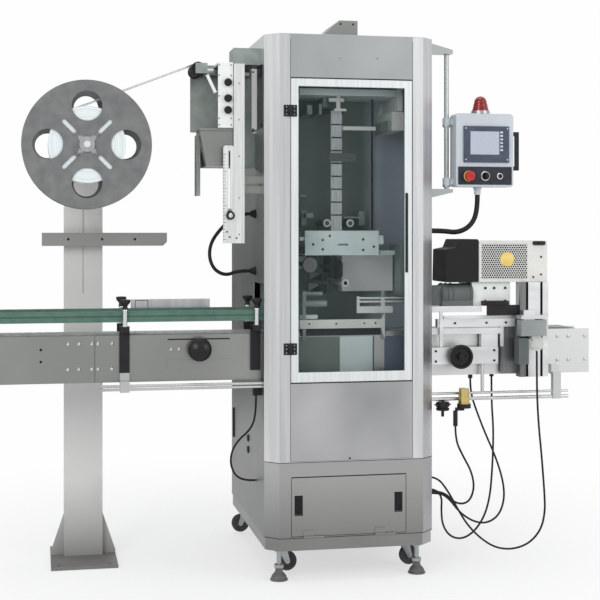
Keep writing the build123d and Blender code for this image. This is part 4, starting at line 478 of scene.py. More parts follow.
def add_piece(name, mesh, material, body):
    """Makes a mesh a piece of the object that rides on a body."""
    if material:
        mesh.materials.append(material)
    mesh.polygons.foreach_set("use_smooth", [True] * len(mesh.polygons))
    mesh.set_sharp_from_angle(angle=math.radians(35))
    piece = show(name, mesh)
    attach(piece, body)
    return piece


def solid(name, material, *shapes, body="machine", slot="black_plastic"):
    """Makes a piece of shapes, each given as the function that draws it and its sizes."""
    form = bmesh.new()
    for draw, *sizes in shapes:
        draw(form, *sizes)
    bmesh.ops.recalc_face_normals(form, faces=form.faces)
    mesh = bpy.data.meshes.new(name)
    form.to_mesh(mesh)
    form.free()
    return add_piece(name, mesh, material, body)


def plain_mesh(name, points, tree, sizes):
    """Runs a node tree on a mesh of points and keeps what it makes as a plain mesh."""
    carrier = show(name, points)
    modifier = carrier.modifiers.new(name, "NODES")
    modifier.node_group = tree
    for socket in tree.interface.items_tree:
        if socket.item_type == "SOCKET" and socket.in_out == "INPUT" and socket.name in sizes:
            modifier[socket.identifier] = sizes[socket.name]
    bpy.context.view_layer.update()
    made = carrier.evaluated_get(bpy.context.evaluated_depsgraph_get())
    mesh = bpy.data.meshes.new_from_object(made)
    carrier.modifiers.remove(modifier)
    bpy.data.objects.remove(carrier)
    mesh.name = name
    return mesh


def start_tree(name, **inputs):
    """A geometry node tree with named inputs and one geometry output."""
    tree = bpy.data.node_groups.new(name, "GeometryNodeTree")
    tree.interface.new_socket("Geometry", in_out="OUTPUT", socket_type="NodeSocketGeometry")
    tree.interface.new_socket("Geometry", in_out="INPUT", socket_type="NodeSocketGeometry")
    for label, kind in inputs.items():
        tree.interface.new_socket(label, in_out="INPUT", socket_type=kind)
    return tree, add(tree, "NodeGroupInput").outputs


def end_tree(tree, geometry, material):
    """Ends a tree: what it made gets its finish and becomes the output."""
    finished = add(tree, "GeometryNodeSetMaterial", {"Geometry": geometry, "Material": material})
    add(tree, "NodeGroupOutput", {"Geometry": finished.outputs["Geometry"]})


# One screw on each point: a round rim under a head that tapers, turned along the point's aim.
screw_tree, given = start_tree("screws", Radius="NodeSocketFloat", Head="NodeSocketFloat",
                               Finish="NodeSocketMaterial")
rim = add(screw_tree, "GeometryNodeMeshCone", {
    "Vertices": 14, "Radius Bottom": given["Radius"], "Radius Top": given["Radius"],
    "Depth": given["Head"]})
dome_radius = add(screw_tree, "ShaderNodeMath", {0: given["Radius"], 1: 0.62}, operation="MULTIPLY")
dome = add(screw_tree, "GeometryNodeMeshCone", {
    "Vertices": 14, "Radius Bottom": given["Radius"], "Radius Top": dome_radius.outputs[0],
    "Depth": given["Head"]})
lift = add(screw_tree, "ShaderNodeCombineXYZ", {"Z": given["Head"]})
raised = add(screw_tree, "GeometryNodeTransform", {
    "Geometry": dome.outputs["Mesh"], "Translation": lift.outputs["Vector"]})
head = add(screw_tree, "GeometryNodeJoinGeometry", {"Geometry": rim.outputs["Mesh"]})
screw_tree.links.new(raised.outputs["Geometry"], head.inputs["Geometry"])
aim = add(screw_tree, "GeometryNodeInputNamedAttribute", {"Name": "aim"}, data_type="FLOAT_VECTOR")
turn = add(screw_tree, "FunctionNodeAlignRotationToVector", {"Vector": aim.outputs["Attribute"]}, axis="Z")
spots = add(screw_tree, "GeometryNodeMeshToPoints", {"Mesh": given["Geometry"]})
placed = add(screw_tree, "GeometryNodeInstanceOnPoints", {
    "Points": spots.outputs["Points"], "Instance": head.outputs["Geometry"],
    "Rotation": turn.outputs["Rotation"]})
real = add(screw_tree, "GeometryNodeRealizeInstances", {"Geometry": placed.outputs["Instances"]})
end_tree(screw_tree, real.outputs["Geometry"], given["Finish"])


def screws(name, material, radius, head_height, spots_at, aim_at=FRONT_WAYS, body="machine"):
    """A set of like screws on one body, standing on the places given in millimetres."""
    mesh = bpy.data.meshes.new(name)
    mesh.from_pydata([place(*spot) for spot in spots_at], [], [])
    directions = mesh.attributes.new("aim", "FLOAT_VECTOR", "POINT")
    directions.data.foreach_set("vector", [value for _ in spots_at for value in aim_at])
    made = plain_mesh(name, mesh, screw_tree,
                      {"Radius": radius / 1000, "Head": head_height / 1000, "Finish": material})
    return add_piece(name, made, None, body)


screws("header_screws", zinc_steel, 5, 1.5, [(-46, -0.5, 1994), (100, -0.5, 1996)])
screws("roof_cover_screws", dark_steel, 4, 1.2, [(-22, 99.5, 2138), (28, 99.5, 2138)])
screws("lower_panel_hole", dark_steel, 4, 0.6, [(-9, -0.3, 466)])
screws("line_bolts", bright_steel, 6.5, 2.5,
       [(x, 104, z) for x in (-1066, -1026, -978, -955, -903, 875, 922, 993) for z in (909, 815)]
       + [(-681, 104, 884), (-651, 104, 884)])
for name, x, body in (("hinge_screws", -255, "machine"), ("hinge_screws_door", -225, "door")):
    screws(name, zinc_steel, 2.6, 1.0,
           [(x, -3.4, z + shift) for z in (886, 1788) for shift in (-14, 0, 14)], body=body)
screws("bearing_plate_bolts", dark_steel, 5, 2.5,
       [(562, 83, 1107), (599, 83, 1107), (645, 83, 1107), (562, 83, 1056), (645, 83, 1056)])
screws("guard_screws", dark_steel, 4, 1.8,
       [(790, 67, 1160), (790, 67, 1230), (757, 67, 1150)], body="unit_guard")
screws("unit_box_screws", dark_steel, 4.5, 2.2,
       [(x, 61, z) for x in (352, 592) for z in (822, 862)]
       + [(x, 61, 971) for x in (370, 430, 560, 640)])
screws("cutter_plate_screws", dark_steel, 4.5, 1.8,
       [(-94, 95.5, 1298), (-94, 95.5, 1262), (67, 95.5, 1300), (67, 95.5, 1259), (-132, 95.5, 1281),
        (110, 95.5, 1272)])
screws("line_guide_dots", dark_steel, 3.5, 1.2,
       [(72, 96.6, 973), (117, 96.6, 973), (-147, 96.6, 974), (-40, 96.6, 973)])
screws("box_lid_screws", bright_steel, 3, 1.0,
       [(x, 88.6, z) for x in (484, 657) for z in (1616, 1740)], body="hmi")
screws("feeder_plate_screws", zinc_steel, 3.2, 1.2,
       [(x, 111.6, z) for x in (-496, -450) for z in (1740, 1765, 1850, 1930, 1970)]
       + [(-420, 103.6, z) for z in (1320, 1460, 1620, 1760, 1900)])
screws("feeder_bar_screws", dark_steel, 3.4, 1.2,
       [(-457, 99.6, 1310), (-430, 103.6, 1306), (-468, 99.6, 1330)])
screws("tray_bolts", dark_steel, 5, 2,
       [(-1057, 482.6, 1300), (-922, 482.6, 1300), (-790, 482.6, 1300)])
screws("window_screws", dark_steel, 4, 1.5,
       [(-335.3, y, z) for y in (96, 295, 494) for z in (1738, 1967)], aim_at=LEFT_WAYS)

# Perforated guard: six-sided cells of steel, each with a round hole, laid in staggered rows.
HOLE_PITCH = 9.7
ROW_PITCH = HOLE_PITCH * math.sqrt(3) / 2
HOLE_RADIUS = 3.8
SHEET = 2.0
LEFT, RIGHT = GUARD_X = (531, 816)
BOTTOM, TOP = GUARD_Z = (1131.3, 1294)
GUARD_Y = (68, 250)
RIM_AT = (67.8, 70.2)
BAND_AT = (67.7, 70.3)
PIERCED_FROM = (539, 1141.3)
PIERCED_TO = (738, 1290)


def pierced_cell():
    """One six-sided cell of the sheet with its hole, lying flat, in metres."""
    cell = bmesh.new()
    layers = []
    for height in (0.0, SHEET / 1000):
        outer, inner = [], []
        for i in range(12):
            angle = math.pi * i / 6
            edge = HOLE_PITCH / 2000 / (math.cos(math.pi / 6) if i % 2 else 1)
            for ends, radius in ((outer, edge), (inner, HOLE_RADIUS / 1000)):
                ends.append(cell.verts.new((radius * math.cos(angle), radius * math.sin(angle), height)))
        layers.append((outer, inner))
    (low_outer, low_inner), (high_outer, high_inner) = layers
    for i in range(12):
        k = (i + 1) % 12
        cell.faces.new((low_outer[k], low_outer[i], low_inner[i], low_inner[k]))
        cell.faces.new((high_outer[i], high_outer[k], high_inner[k], high_inner[i]))
        cell.faces.new((low_inner[k], low_inner[i], high_inner[i], high_inner[k]))
    mesh = bpy.data.meshes.new("pierced_cell")
    cell.to_mesh(mesh)
    cell.free()
    return bpy.data.objects.new("pierced_cell", mesh)


hole_tree, given = start_tree("perforation", Columns="NodeSocketInt", Rows="NodeSocketInt",
                              Pitch="NodeSocketFloat", Cell="NodeSocketObject",
                              Finish="NodeSocketMaterial")
total = add(hole_tree, "ShaderNodeMath", {0: given["Columns"], 1: given["Rows"]}, operation="MULTIPLY")
dots = add(hole_tree, "GeometryNodeMeshLine", {"Count": total.outputs[0]})
number = add(hole_tree, "GeometryNodeInputIndex")
row_part = add(hole_tree, "ShaderNodeMath", {0: number.outputs[0], 1: given["Columns"]}, operation="DIVIDE")
row = add(hole_tree, "ShaderNodeMath", {0: row_part.outputs[0]}, operation="FLOOR")
column = add(hole_tree, "ShaderNodeMath", {0: number.outputs[0], 1: given["Columns"]}, operation="MODULO")
stagger = add(hole_tree, "ShaderNodeMath", {0: row.outputs[0], 1: 2.0}, operation="MODULO")
along = add(hole_tree, "ShaderNodeMath", {0: stagger.outputs[0], 1: 0.5, 2: column.outputs[0]},
            operation="MULTIPLY_ADD")
across_at = add(hole_tree, "ShaderNodeMath", {0: along.outputs[0], 1: given["Pitch"]}, operation="MULTIPLY")
row_pitch = add(hole_tree, "ShaderNodeMath", {0: given["Pitch"], 1: math.sqrt(3) / 2}, operation="MULTIPLY")
up_at = add(hole_tree, "ShaderNodeMath", {0: row.outputs[0], 1: row_pitch.outputs[0]}, operation="MULTIPLY")
spot = add(hole_tree, "ShaderNodeCombineXYZ", {"X": across_at.outputs[0], "Y": up_at.outputs[0]})
laid = add(hole_tree, "GeometryNodeSetPosition", {
    "Geometry": dots.outputs["Mesh"], "Position": spot.outputs["Vector"]})
cell_shape = add(hole_tree, "GeometryNodeObjectInfo", {"Object": given["Cell"]})
cells = add(hole_tree, "GeometryNodeInstanceOnPoints", {
    "Points": laid.outputs["Geometry"], "Instance": cell_shape.outputs["Geometry"]})
real = add(hole_tree, "GeometryNodeRealizeInstances", {"Geometry": cells.outputs["Instances"]})
joined = add(hole_tree, "GeometryNodeMergeByDistance", {
    "Geometry": real.outputs["Geometry"], "Distance": 0.00005})
end_tree(hole_tree, joined.outputs["Geometry"], given["Finish"])

columns = round((PIERCED_TO[0] - PIERCED_FROM[0]) / HOLE_PITCH)
rows = round((PIERCED_TO[1] - PIERCED_FROM[1]) / ROW_PITCH)
cell_object = pierced_cell()
pierced = plain_mesh("guard_field", bpy.data.meshes.new("guard_field"), hole_tree, {
    "Columns": columns, "Rows": rows, "Pitch": HOLE_PITCH / 1000, "Cell": cell_object,
    "Finish": guard_paint})
bpy.data.objects.remove(cell_object)
# The cells leave the sheet's outer edge open: walls between its two faces close it
edging = bmesh.new()
edging.from_mesh(pierced)
border = [line for line in edging.edges if line.is_boundary]
lower_lines = [line for line in border if all(end.co.z < SHEET / 2000 for end in line.verts)]
upper_ends = {end for line in border for end in line.verts if end.co.z > SHEET / 2000}
over = {end: min(upper_ends, key=lambda other: (other.co - end.co).length)
        for line in lower_lines for end in line.verts}
for line in lower_lines:
    first, second = line.verts
    edging.faces.new((second, first, over[first], over[second]))
bmesh.ops.recalc_face_normals(edging, faces=edging.faces)
edging.to_mesh(pierced)
edging.free()
corner_at = place(PIERCED_FROM[0], GUARD_Y[0], PIERCED_FROM[1])
for vertex in pierced.vertices:
    flat = vertex.co.copy()
    vertex.co = corner_at + Vector((flat.x, SHEET / 1000 - flat.z, flat.y))
field_right = PIERCED_FROM[0] + (columns - 0.5) * HOLE_PITCH
field_top = PIERCED_FROM[1] + (rows - 1) * ROW_PITCH
add_piece("guard_field", pierced, None, "unit_guard")
guard_shell = solid("guard_shell", guard_paint,
    (block, (LEFT, LEFT + 11), RIM_AT, GUARD_Z, 0.8),
    (block, (field_right - 6, RIGHT), RIM_AT, GUARD_Z, 0.8),
    (block, GUARD_X, BAND_AT, (BOTTOM, BOTTOM + 12), 0.8),
    (block, GUARD_X, BAND_AT, (field_top - 2, TOP), 0.8),
    (block, GUARD_X, GUARD_Y, (TOP - 2, TOP), 0.8),
    (block, GUARD_X, (248, 250), GUARD_Z, 0.8),
    (block, (LEFT, LEFT + 2), GUARD_Y, GUARD_Z, 0.8),
    (block, (RIGHT - 2, RIGHT), GUARD_Y, GUARD_Z, 0.8),
    (turned, ((0, 0), (4, 0), (4, 39.7), (0, 39.7)), (600.3, 256, 1131), 20, RIGHT_WAYS),
    (block, (600.3, 640), (249, 256), (1132, 1143), 0.6),
    body="unit_guard", slot="guard_grey")
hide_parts("unit_guard")

solid("guard_liner", hood_paint,
    (block, (536, 744), (75, 79), (1137, 1288), 1),
    (block, (545, 735), (79, 240), (1150, 1280), 6),
    body="unit_guard", slot="hood_black")
solid("guard_latch", black_plastic,
    (block, (755, 806), (60, 68), (1277, 1293), 2),
    (turned, ((0, 0), (5, 0), (5, 5), (3, 7), (0, 7)), (781, 60, 1285), 20),
    body="unit_guard")
solid("guard_patch", yellow_plastic,
    (turned, ((0, 0), (29, 0), (29, 1.0), (28, 1.4), (0, 1.4)), (648, 67.9, 1221), 24),
    body="unit_guard", slot="guard_grey")

# Dark seams round the door and the base door, set in the gaps that the sheets leave; the strips over the
# base door's top and right side are painted shade in its gaps
pan_low, pan_high = ((corner - FRONT) * 1000 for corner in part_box("base_door"))
solid("door_seams", seal_and_gap_shade_rubber,
    (block, (-240, -238.2), (0.4, 8), (758, 1912), 0.3),
    (block, (238.2, 240), (2, 8), (758, 1912), 0.3),
    (block, (-240, 240), (1.5, 8), (754.5, 757.8), 0.3),
    (block, (-240, 240), (1.5, 8), (1912.2, 1915.5), 0.3),
    (block, (-282, 282), (0.8, 6), (455.2, 459.8), 0.3),
    *((block, (side - 0.8, side + 0.8), (-0.3, 0.8), span, 0.2)
      for side in (-239.6, 239.6) for span in ((461, 754), (1916, 2062))),
    # Painted shade in the base door's top and right gaps
    (block, (pan_low.x - 1, pan_high.x + 1), (-0.4, 0.8), (pan_high.z + 0.4, pan_high.z + 4.4), 0.2),
    (block, (pan_high.x + 0.4, pan_high.x + 2.2), (-0.4, 0.8), (pan_low.z + 20, pan_high.z), 0.2))

solid("pull_strip_cap", black_plastic,
    (block, (210.6, 219.4), (-9.8, -3.2), (1176, 1478), 2.5),
    body="door")

# Left wall: the hose's two glands, two grommets and a strip above the side cable
GLAND = ((0, 0), (18, 0), (18, 5), (15, 9), (12.6, 9), (12.6, 19.8), (0, 19.8))
GROMMET = ((0, 0), (15, 0), (15, 3), (11, 6), (0, 6))
solid("left_wall_fittings", black_plastic,
    *((turned, GLAND, (-332, 250, z), 24, LEFT_WAYS) for z in (1401, 1176)),
    *((turned, GROMMET, (-332, 430, z), 24, LEFT_WAYS) for z in (487, 440)),
    (block, (-338, -332), (820, 838), (430, 560), 2))


def ring(radius, inner, *rim):
    """A ring's closed profile: its inner radius, and what else its rim has after the outer radius."""
    return ((inner, 0), (radius, 0), *rim, (inner, 0))


# Operator box: keys beside the screen, the switches' rings and caps, and the beacon's bands
solid("screen_keys", key_plastic,
    *((block, (626, 638), (86.2, 89.6), (1651 + 14 * step, 1659 + 14 * step), 1.2) for step in range(6)),
    body="hmi", slot="panel_grey")
solid("control_rings", bright_steel,
    *((turned, ring(radius, radius - 5, (radius, 4), (radius - 1.5, 5.5), (radius - 4, 5.5),
                    (radius - 5, 4.5)), (x, 92, 1551), 32) for x, radius in ((565, 19), (626, 13))),
    body="hmi", slot="bright_steel")
solid("control_button", black_plastic,
    (turned, ((0, 0), (7.8, 0), (7.8, 6), (6, 8.5), (0, 9.5)), (626, 92, 1551), 28),
    body="hmi")
solid("stop_collar", yellow_plastic,
    (turned, ring(21, 17.2, (21, 2.2), (19, 3.6), (17.2, 3.6)), (497, 92, 1551), 32),
    body="hmi", slot="panel_grey")
solid("beacon_bands", lens_plastic,
    *((turned, ((radius - 2, -2), (radius, -1.2), (radius + 0.6, 0), (radius, 1.2), (radius - 2, 2),
                (radius - 2, -2)), (559, 132, 1800 + height), 32, UPWARDS)
      for height, radius in ((26, 30.6), (35, 28.6), (45, 26))),
    body="hmi", slot="lens_red")

# Feeder: the slotted bar's ticks, the gauges' rims, the white lever, the scale's knob and the
# rods' collars
solid("bar_ticks", black_plastic,
    *((block, (-483, -475 if step % 5 else -470), (99.5, 100.1), (1300 + 13 * step, 1301.4 + 13 * step),
       0.2) for step in range(26)))
GAUGE_RIM = ((0, 0), (15, 0), (15, 5), (12, 8), (9, 8), (9, 6), (0, 6))
solid("gauge_rims", black_plastic,
    *((turned, GAUGE_RIM, (-463, 104, z), 28) for z in (1902, 1841, 1796)))
solid("feeder_lever", white_paint,
    (slanted, (-543, 108, 1929), (-511, 108, 1862), 12, 8),
    slot="plate_white")
solid("scale_knob", black_plastic,
    (turned, ((0, 0), (15.6, 0), (16.4, 3), (16.4, 12), (13, 16), (0, 17)), (-455, 100, 1392), 28))
solid("scale_knob_cap", bright_steel,
    (turned, ((0, 0), (9, 0), (9, 2), (6, 4.5), (0, 5)), (-455, 83.4, 1392), 24),
    slot="bright_steel")
solid("feeder_rod_collars", black_plastic,
    *((block, (-417, -402), (125.8, 152.2), span, 1.5) for span in ((1477.5, 1504.5), (1517, 1543.5))))

# Conveyor: the side plate's long slot, joint line and dots, and two cover plates
solid("line_slot", dark_steel,
    (block, (-694, -456), (104.2, 105.2), (919, 924), 0.4),
    (block, (-967.8, -966.2), (104.2, 105.2), (764, 939), 0.3),
    *((turned, ((0, 0), (5, 0), (5, 0.8), (0, 0.8)), (-1166, 105, z), 20) for z in (890, 845)))
solid("line_cover_plates", line_steel_painted_light,
    (block, (-697, -456), (103, 105.2), (808, 845), 0.8),
    (block, (113, 155), (103, 105.2), (779, 926), 0.8),
    slot="stainless")

# Outfeed unit: the gearmotor's ribs, the valve's nuts, the tee knob, the plug's cap and the
# handwheel's rim and hub
solid("gearmotor_ribs", motor_paint,
    *((turned, ring(46, 42, (47, 1), (47, wide - 1), (46, wide), (42, wide)), (x, 108, 1082), 36,
       RIGHT_WAYS) for x, wide in ((384, 6), (404, 3), (424, 3), (496, 7))),
    slot="motor_grey")
solid("valve_nuts", brass,
    *((turned, ((0, 0), (radius, 0), (radius, tall), (0, tall)), (461, 44, low), sides, UPWARDS)
      for low, tall, radius, sides in ((658, 10, 22.5, 6), (686, 8, 22, 6), (706, 9.5, 17, 24))),
    slot="bright_steel")
solid("tee_knob", black_plastic,
    (block, (351, 417), (66, 86), (641, 661), 7),
    (turned, ((0, 0), (24, 0), (26, 3), (26, 9), (20, 12), (0, 12)), (384, 76, 628), 28, UPWARDS))
solid("plug_cap", plug_plastic,
    (block, (719, 769), (-10, 8), (866, 920), 6),
    (block, (726, 762), (-12.2, -8), (873, 913), 1))
solid("handwheel_rim", knob_plastic,
    (turned, ((34, 26), (38.5, 31), (42, 35.2), (45, 35.2), (47.4, 32), (47.4, 18), (45, 15), (38, 15),
              (34, 26)), (447, 62, 841), 44),
    (turned, ((0, 36), (13, 36), (14.5, 38.5), (14.5, 41), (12, 43.5), (0, 43.5)), (447, 62, 841), 28),
    body="handwheel", slot="knob_black")

# Film: printed register marks down the flat sleeve
solid("sleeve_marks", dark_steel,
    *((block, (-42, 0), (177.6, 178.4), (z - 2.5, z + 2.5), 0.3) for z in range(1753, 1395, -51)))

# Inside: the guide rollers' rims, the dark drive line and stops, the plates and the feed wheel's face
solid("roller_rims", white_paint,
    *((turned, ring(radius, radius - 6, (radius, 5), (radius - 2, 7), (radius - 6, 7)), (x, y, z), 28)
      for x, z, radius, y in ((-58, 1364, 15.5, 186), (36, 1364, 15.5, 186), (-2, 1130, 14.5, 110))),
    slot="plate_white")
solid("inner_drive_line", black_plastic,
    (block, (134, 143), (226, 231), (1338, 1875), 1),
    (block, (-182, 159), (101.5, 104.9), (927, 954), 0.8),
    (turned, ((0, 0), (7.5, 0), (7.5, 3), (0, 3)), (-2, 104, 1130), 20),
    (block, (-70, -16), (103, 109), (1196, 1212), 3),
    (block, (-96, -60), (103, 109), (1160, 1172), 3),
    (block, (-30, -14), (94, 100), (1150, 1216), 5))
solid("inner_pale_plates", inside_plate,
    (block, (-24, 107), (103, 104.9), (767, 922), 0.8),
    (block, (-181, -112), (103, 110), (992, 1008), 2),
    (block, (-170, -110), (325, 329.8), (1180, 1232), 2),
    slot="unit_aluminium")
for name, span, material in (("inner_line_plate", (-236, -25), line_plate),
                             ("inner_line_end", (108, 236), line_end_plate)):
    solid(name, material, (block, span, (103.2, 104.8), (767, 922), 0.6), slot="stainless")
solid("feed_wheel_face", grey_profile,
    (turned, ((0, 0), (30.3, 0), (30.3, 6), (28, 8), (12, 8), (12, 6.5), (8, 6.5), (8, 9), (0, 9)),
     (-144, 104, 1201), 36),
    body="feed_wheel", slot="roller_black")

# Dark joint lines round the plinth and the base, where the sheets meet, swept round the cut corners
JOINT_TALL = 2.2
SIDE_AT = 332
CORNER_CUT = 49.5
REAR_AT = 53
DIAGONAL = 0.4


def joint_line(form, low):
    """Adds a bar that runs round the front and its two cut corners, from a height upwards."""
    rings = []
    for side, y in ((-1, REAR_AT), (-1, CORNER_CUT), (-1, 0), (1, 0), (1, CORNER_CUT), (1, REAR_AT)):
        x_at, sidewards = (SIDE_AT, 1) if y else (SIDE_AT - CORNER_CUT, DIAGONAL)
        forwards = {0: 1, REAR_AT: 0}.get(y, DIAGONAL)
        rings.append([
            form.verts.new(place(side * (x_at + out * sidewards), y - out * forwards, z))
            for out, z in ((0.5, low), (0.5, low + JOINT_TALL), (-0.6, low + JOINT_TALL), (-0.6, low))])
    for before, after in zip(rings, rings[1:]):
        for i in range(4):
            form.faces.new((before[i], before[(i + 1) % 4], after[(i + 1) % 4], after[i]))
    form.faces.new(rings[0])
    form.faces.new(rings[-1])


solid("base_joint_lines", seal_and_gap_shade_rubber, *((joint_line, low) for low in (168.2, 454.0)))

# Reel stand: the sheet behind the column's slot; infeed: the outline of the rear plate's window
solid("column_slot_liner", pale_paint,
    (block, (-1004, -986), (547.8, 549.6), (1072, 1458), 0.5),
    slot="stand_paint")
solid("rear_plate_window", dark_steel,
    *((block, xs, (283.2, 284.6), zs, 0.3) for xs, zs in (
        ((-804, -753), (1060, 1062)), ((-804, -753), (1027, 1029)),
        ((-804, -802), (1027, 1062)), ((-755, -753), (1027, 1062)))))

# Caster wheels: three raised tread bands each, round an axle that trails the swivel
for corner, x, y in (("front_left", -222, 170), ("front_right", 272, 170),
                     ("rear_left", -300, 862), ("rear_right", 250, 862)):
    solid("tread_" + corner, wheel_rubber,
        *((turned, ((34, -2.2), (37.9, -2.2), (38.3, 0), (37.9, 2.2), (34, 2.2), (34, -2.2)),
           (x, y + shift, 45.5), 40, REAR_WAYS) for shift in (-7, 0, 7)),
        body="caster_wheel_" + corner, slot="wheel_rubber")


def lead(name, points, diameter, cad_node):
    """A cord on one smooth line through its route's points, in place of its CAD node."""
    curve = bpy.data.curves.new(name, "CURVE")
    curve.dimensions = "3D"
    spline = curve.splines.new("NURBS")
    spline.points.add(len(points) - 1)
    for knot, point in zip(spline.points, points):
        knot.co = (*place(*point), 1.0)
    spline.order_u = 3
    spline.use_endpoint_u = True
    spline.resolution_u = 10
    curve.bevel_depth = diameter / 2000
    curve.bevel_resolution = 4
    curve.use_fill_caps = True
    curve.materials.append(black_rubber)
    piece = show(name, curve)
    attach(piece, "machine")
    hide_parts(cad_node)


RIGHT_GLAND = 352
LEFT_GLAND = -352
lead("panel_hose", (
    (549, 140, 1478), (549, 140, 1408), (520, 140, 1352), (466, 140, 1326),
    (404, 140, 1334), (RIGHT_GLAND, 140, 1334),
), 20, "hmi_hose")
lead("left_hose", (
    (LEFT_GLAND, 250, 1401), (-404, 250, 1401), (-464, 242, 1352), (-512, 230, 1292), (-522, 222, 1232),
    (-500, 226, 1180), (-452, 238, 1158), (-404, 250, 1176), (LEFT_GLAND, 250, 1176),
), 14, "hose_left")
lead("valve_cable", (
    (426, 44, 570), (426, 44, 515), (462, 62, 450), (506, 82, 380), (522, 96, 310),
    (500, 106, 252), (448, 116, 250), (404, 130, 300), (RIGHT_GLAND, 130, 300),
), 8, "cable_a")
lead("inner_line_cable", (
    (519, 140, 745), (519, 140, 690), (546, 140, 611), (582, 140, 522), (626, 141, 427),
    (658, 142, 330), (665, 144, 254), (642, 147, 188), (591, 151, 158), (535, 154, 168), (480, 158, 206),
    (438, 162, 262), (400, 165, 286), (RIGHT_GLAND, 165, 286),
), 8, "cable_b")
lead("middle_line_cable", (
    (626, 190, 745), (626, 190, 640), (634, 190, 540), (633, 191, 440), (628, 192, 342),
    (620, 193, 256), (598, 194, 178), (555, 196, 116), (502, 197, 88), (452, 198, 102), (422, 199, 148),
    (417, 200, 206), (420, 200, 264), (390, 200, 296), (RIGHT_GLAND, 200, 296),
), 8, "cable_c")
lead("motor_cable", (
    (744, -4, 863), (744, -4, 755), (748, 0, 655), (757, 6, 555), (770, 14, 460),
    (781, 24, 373), (792, 36, 291), (800, 50, 216), (790, 68, 142), (748, 90, 84), (687, 114, 58),
    (624, 138, 62), (568, 160, 98), (520, 182, 150), (486, 202, 212), (452, 219, 280), (408, 235, 340),
    (RIGHT_GLAND, 235, 340),
), 8, "cable_d")
lead("side_cable_lead", (
    (-352, 120, 700), (-352, 120, 618), (-372, 150, 560),
    (-408, 200, 518), (-432, 240, 462), (-430, 262, 398), (-392, 270, 344), (-332, 270, 344),
), 8, "side_cable")


# Studio: a white floor and backdrop whose white is colour and not lamp light.
BACKDROP = "#fefefe"
REACH = 40.0


def seen_share(tree):
    """1 for rays that show the studio: to the camera, in a reflection or through a clear piece."""
    rays = add(tree, "ShaderNodeLightPath").outputs
    share = rays["Is Camera Ray"]
    for kind in ("Is Glossy Ray", "Is Transmission Ray"):
        share = add(tree, "ShaderNodeMath", {0: share, 1: rays[kind]}, operation="MAXIMUM").outputs[0]
    return share


def studio_floor():
    """A matte white that, seen from afar, turns into the backdrop's own white."""
    material = bpy.data.materials.new("studio_floor")
    material.use_nodes = True
    tree = material.node_tree
    tree.nodes.clear()
    matte = add(tree, "ShaderNodeBsdfDiffuse", {"Color": linear("#f6f7f7")})
    far = add(tree, "ShaderNodeEmission", {"Color": linear(BACKDROP), "Strength": 1.0})
    coordinates = add(tree, "ShaderNodeTexCoord")
    reach = add(tree, "ShaderNodeVectorMath", {0: coordinates.outputs["Object"]}, operation="LENGTH")
    fade = add(tree, "ShaderNodeMapRange", {
        "Value": reach.outputs["Value"], "From Min": 0.4, "From Max": 2.6, "To Min": 0.6,
    }, interpolation_type="SMOOTHSTEP")
    share = add(tree, "ShaderNodeMath", {0: fade.outputs["Result"], 1: seen_share(tree)},
                operation="MULTIPLY")
    blend = add(tree, "ShaderNodeMixShader", {
        "Fac": share.outputs["Value"], 1: matte.outputs["BSDF"], 2: far.outputs["Emission"],
    })
    add(tree, "ShaderNodeOutputMaterial", {"Surface": blend.outputs["Shader"]})
    return material


def flat_sheet(name, corners, finish):
    """A flat sheet of the studio, from its corners in metres."""
    mesh = bpy.data.meshes.new(name)
    mesh.from_pydata(corners, [], [(0, 1, 2, 3)])
    mesh.materials.append(finish)
    return show(name, mesh)


floor = flat_sheet("studio_floor", [
    (-REACH, -REACH, 0), (REACH, -REACH, 0), (REACH, REACH, 0), (-REACH, REACH, 0)], studio_floor())

world = bpy.data.worlds.new("studio")
bpy.context.scene.world = world
world.use_nodes = True
sky = world.node_tree
sky.nodes.clear()
even = add(sky, "ShaderNodeBackground", {"Color": linear("#f6f8f9"), "Strength": 0.7})
shown = add(sky, "ShaderNodeBackground", {"Color": linear(BACKDROP), "Strength": 1.0})
chosen = add(sky, "ShaderNodeMixShader", {
    "Fac": seen_share(sky), 1: even.outputs["Background"], 2: shown.outputs["Background"]})
add(sky, "ShaderNodeOutputWorld", {"Surface": chosen.outputs["Shader"]})


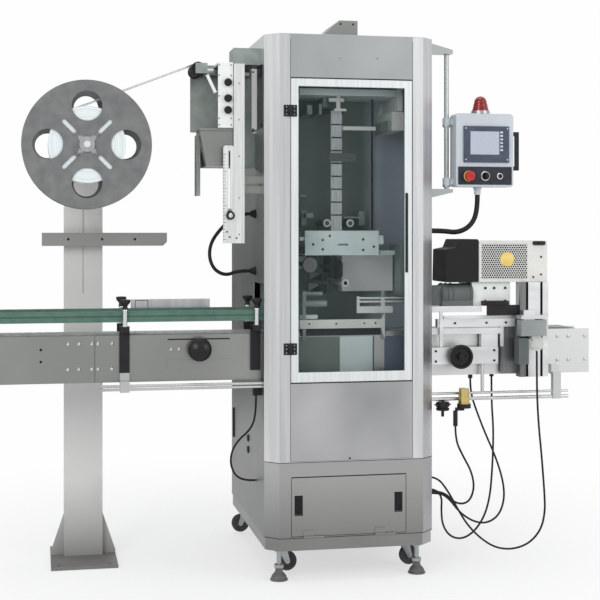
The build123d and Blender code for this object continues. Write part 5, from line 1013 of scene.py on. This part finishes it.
def soft_box(name, where, towards, size, watts):
    """A square lamp with soft edges that faces a point."""
    lamp = bpy.data.lights.new(name, "AREA")
    lamp.shape = "RECTANGLE"
    lamp.size, lamp.size_y = size
    lamp.energy = watts
    lamp_object = show(name, lamp)
    lamp_object.location = where
    lamp_object.rotation_euler = (Vector(towards) - Vector(where)).to_track_quat("-Z", "Y").to_euler()


soft_box("front_left_box", (-3.4, -4.6, 3.2), (0, 0, 1.0), (2.2, 2.8), 100)
soft_box("front_right_box", (3.8, -3.8, 2.6), (0.3, 0, 0.9), (1.8, 2.6), 55)
soft_box("top_box", (0, -0.4, 5.2), (0, 0, 0), (4.0, 3.0), 50)

# A black card behind the machine's left, seen only in reflections: it darkens the left wall
CARD_LEFT, CARD_RIGHT, CARD_BACK, CARD_TOP = -7.0, -0.45, 4.5, 2.1
card_finish, card_tree, card_shader = start_finish("black_card", Roughness=1.0, Specular_IOR_Level=0.0)
tint(card_tree, card_shader, field(card_tree, (400, 400, 400)), "#0b0c0c", "#121313")
card = flat_sheet("black_card", [
    (CARD_LEFT, CARD_BACK, 0.001), (CARD_RIGHT, CARD_BACK, 0.001), (CARD_RIGHT, CARD_BACK, CARD_TOP),
    (CARD_LEFT, CARD_BACK, CARD_TOP)], card_finish)
for kind in ("camera", "diffuse", "transmission", "shadow"):
    setattr(card, "visible_" + kind, False)

# Camera: the photograph's viewpoint, left of the cabinet, level, with its frame shifted down.
SENSOR = 36.0
PICTURE_PIXELS = 600
FOCAL_PIXELS = 1316.97
EYE_LEVEL_PIXEL = 231.16
TURN = math.radians(11.27)
camera_data = bpy.data.cameras.new("photograph")
camera_data.sensor_width = SENSOR
camera_data.lens = FOCAL_PIXELS / PICTURE_PIXELS * SENSOR
camera_data.shift_y = (EYE_LEVEL_PIXEL - PICTURE_PIXELS / 2) / PICTURE_PIXELS
camera = show("photograph", camera_data)
camera.location = place(-1177.8, -4892, 1332.4)
camera.rotation_euler = (math.pi / 2, 0, -TURN)
bpy.context.scene.camera = camera
bpy.context.scene.view_settings.view_transform = "Standard"
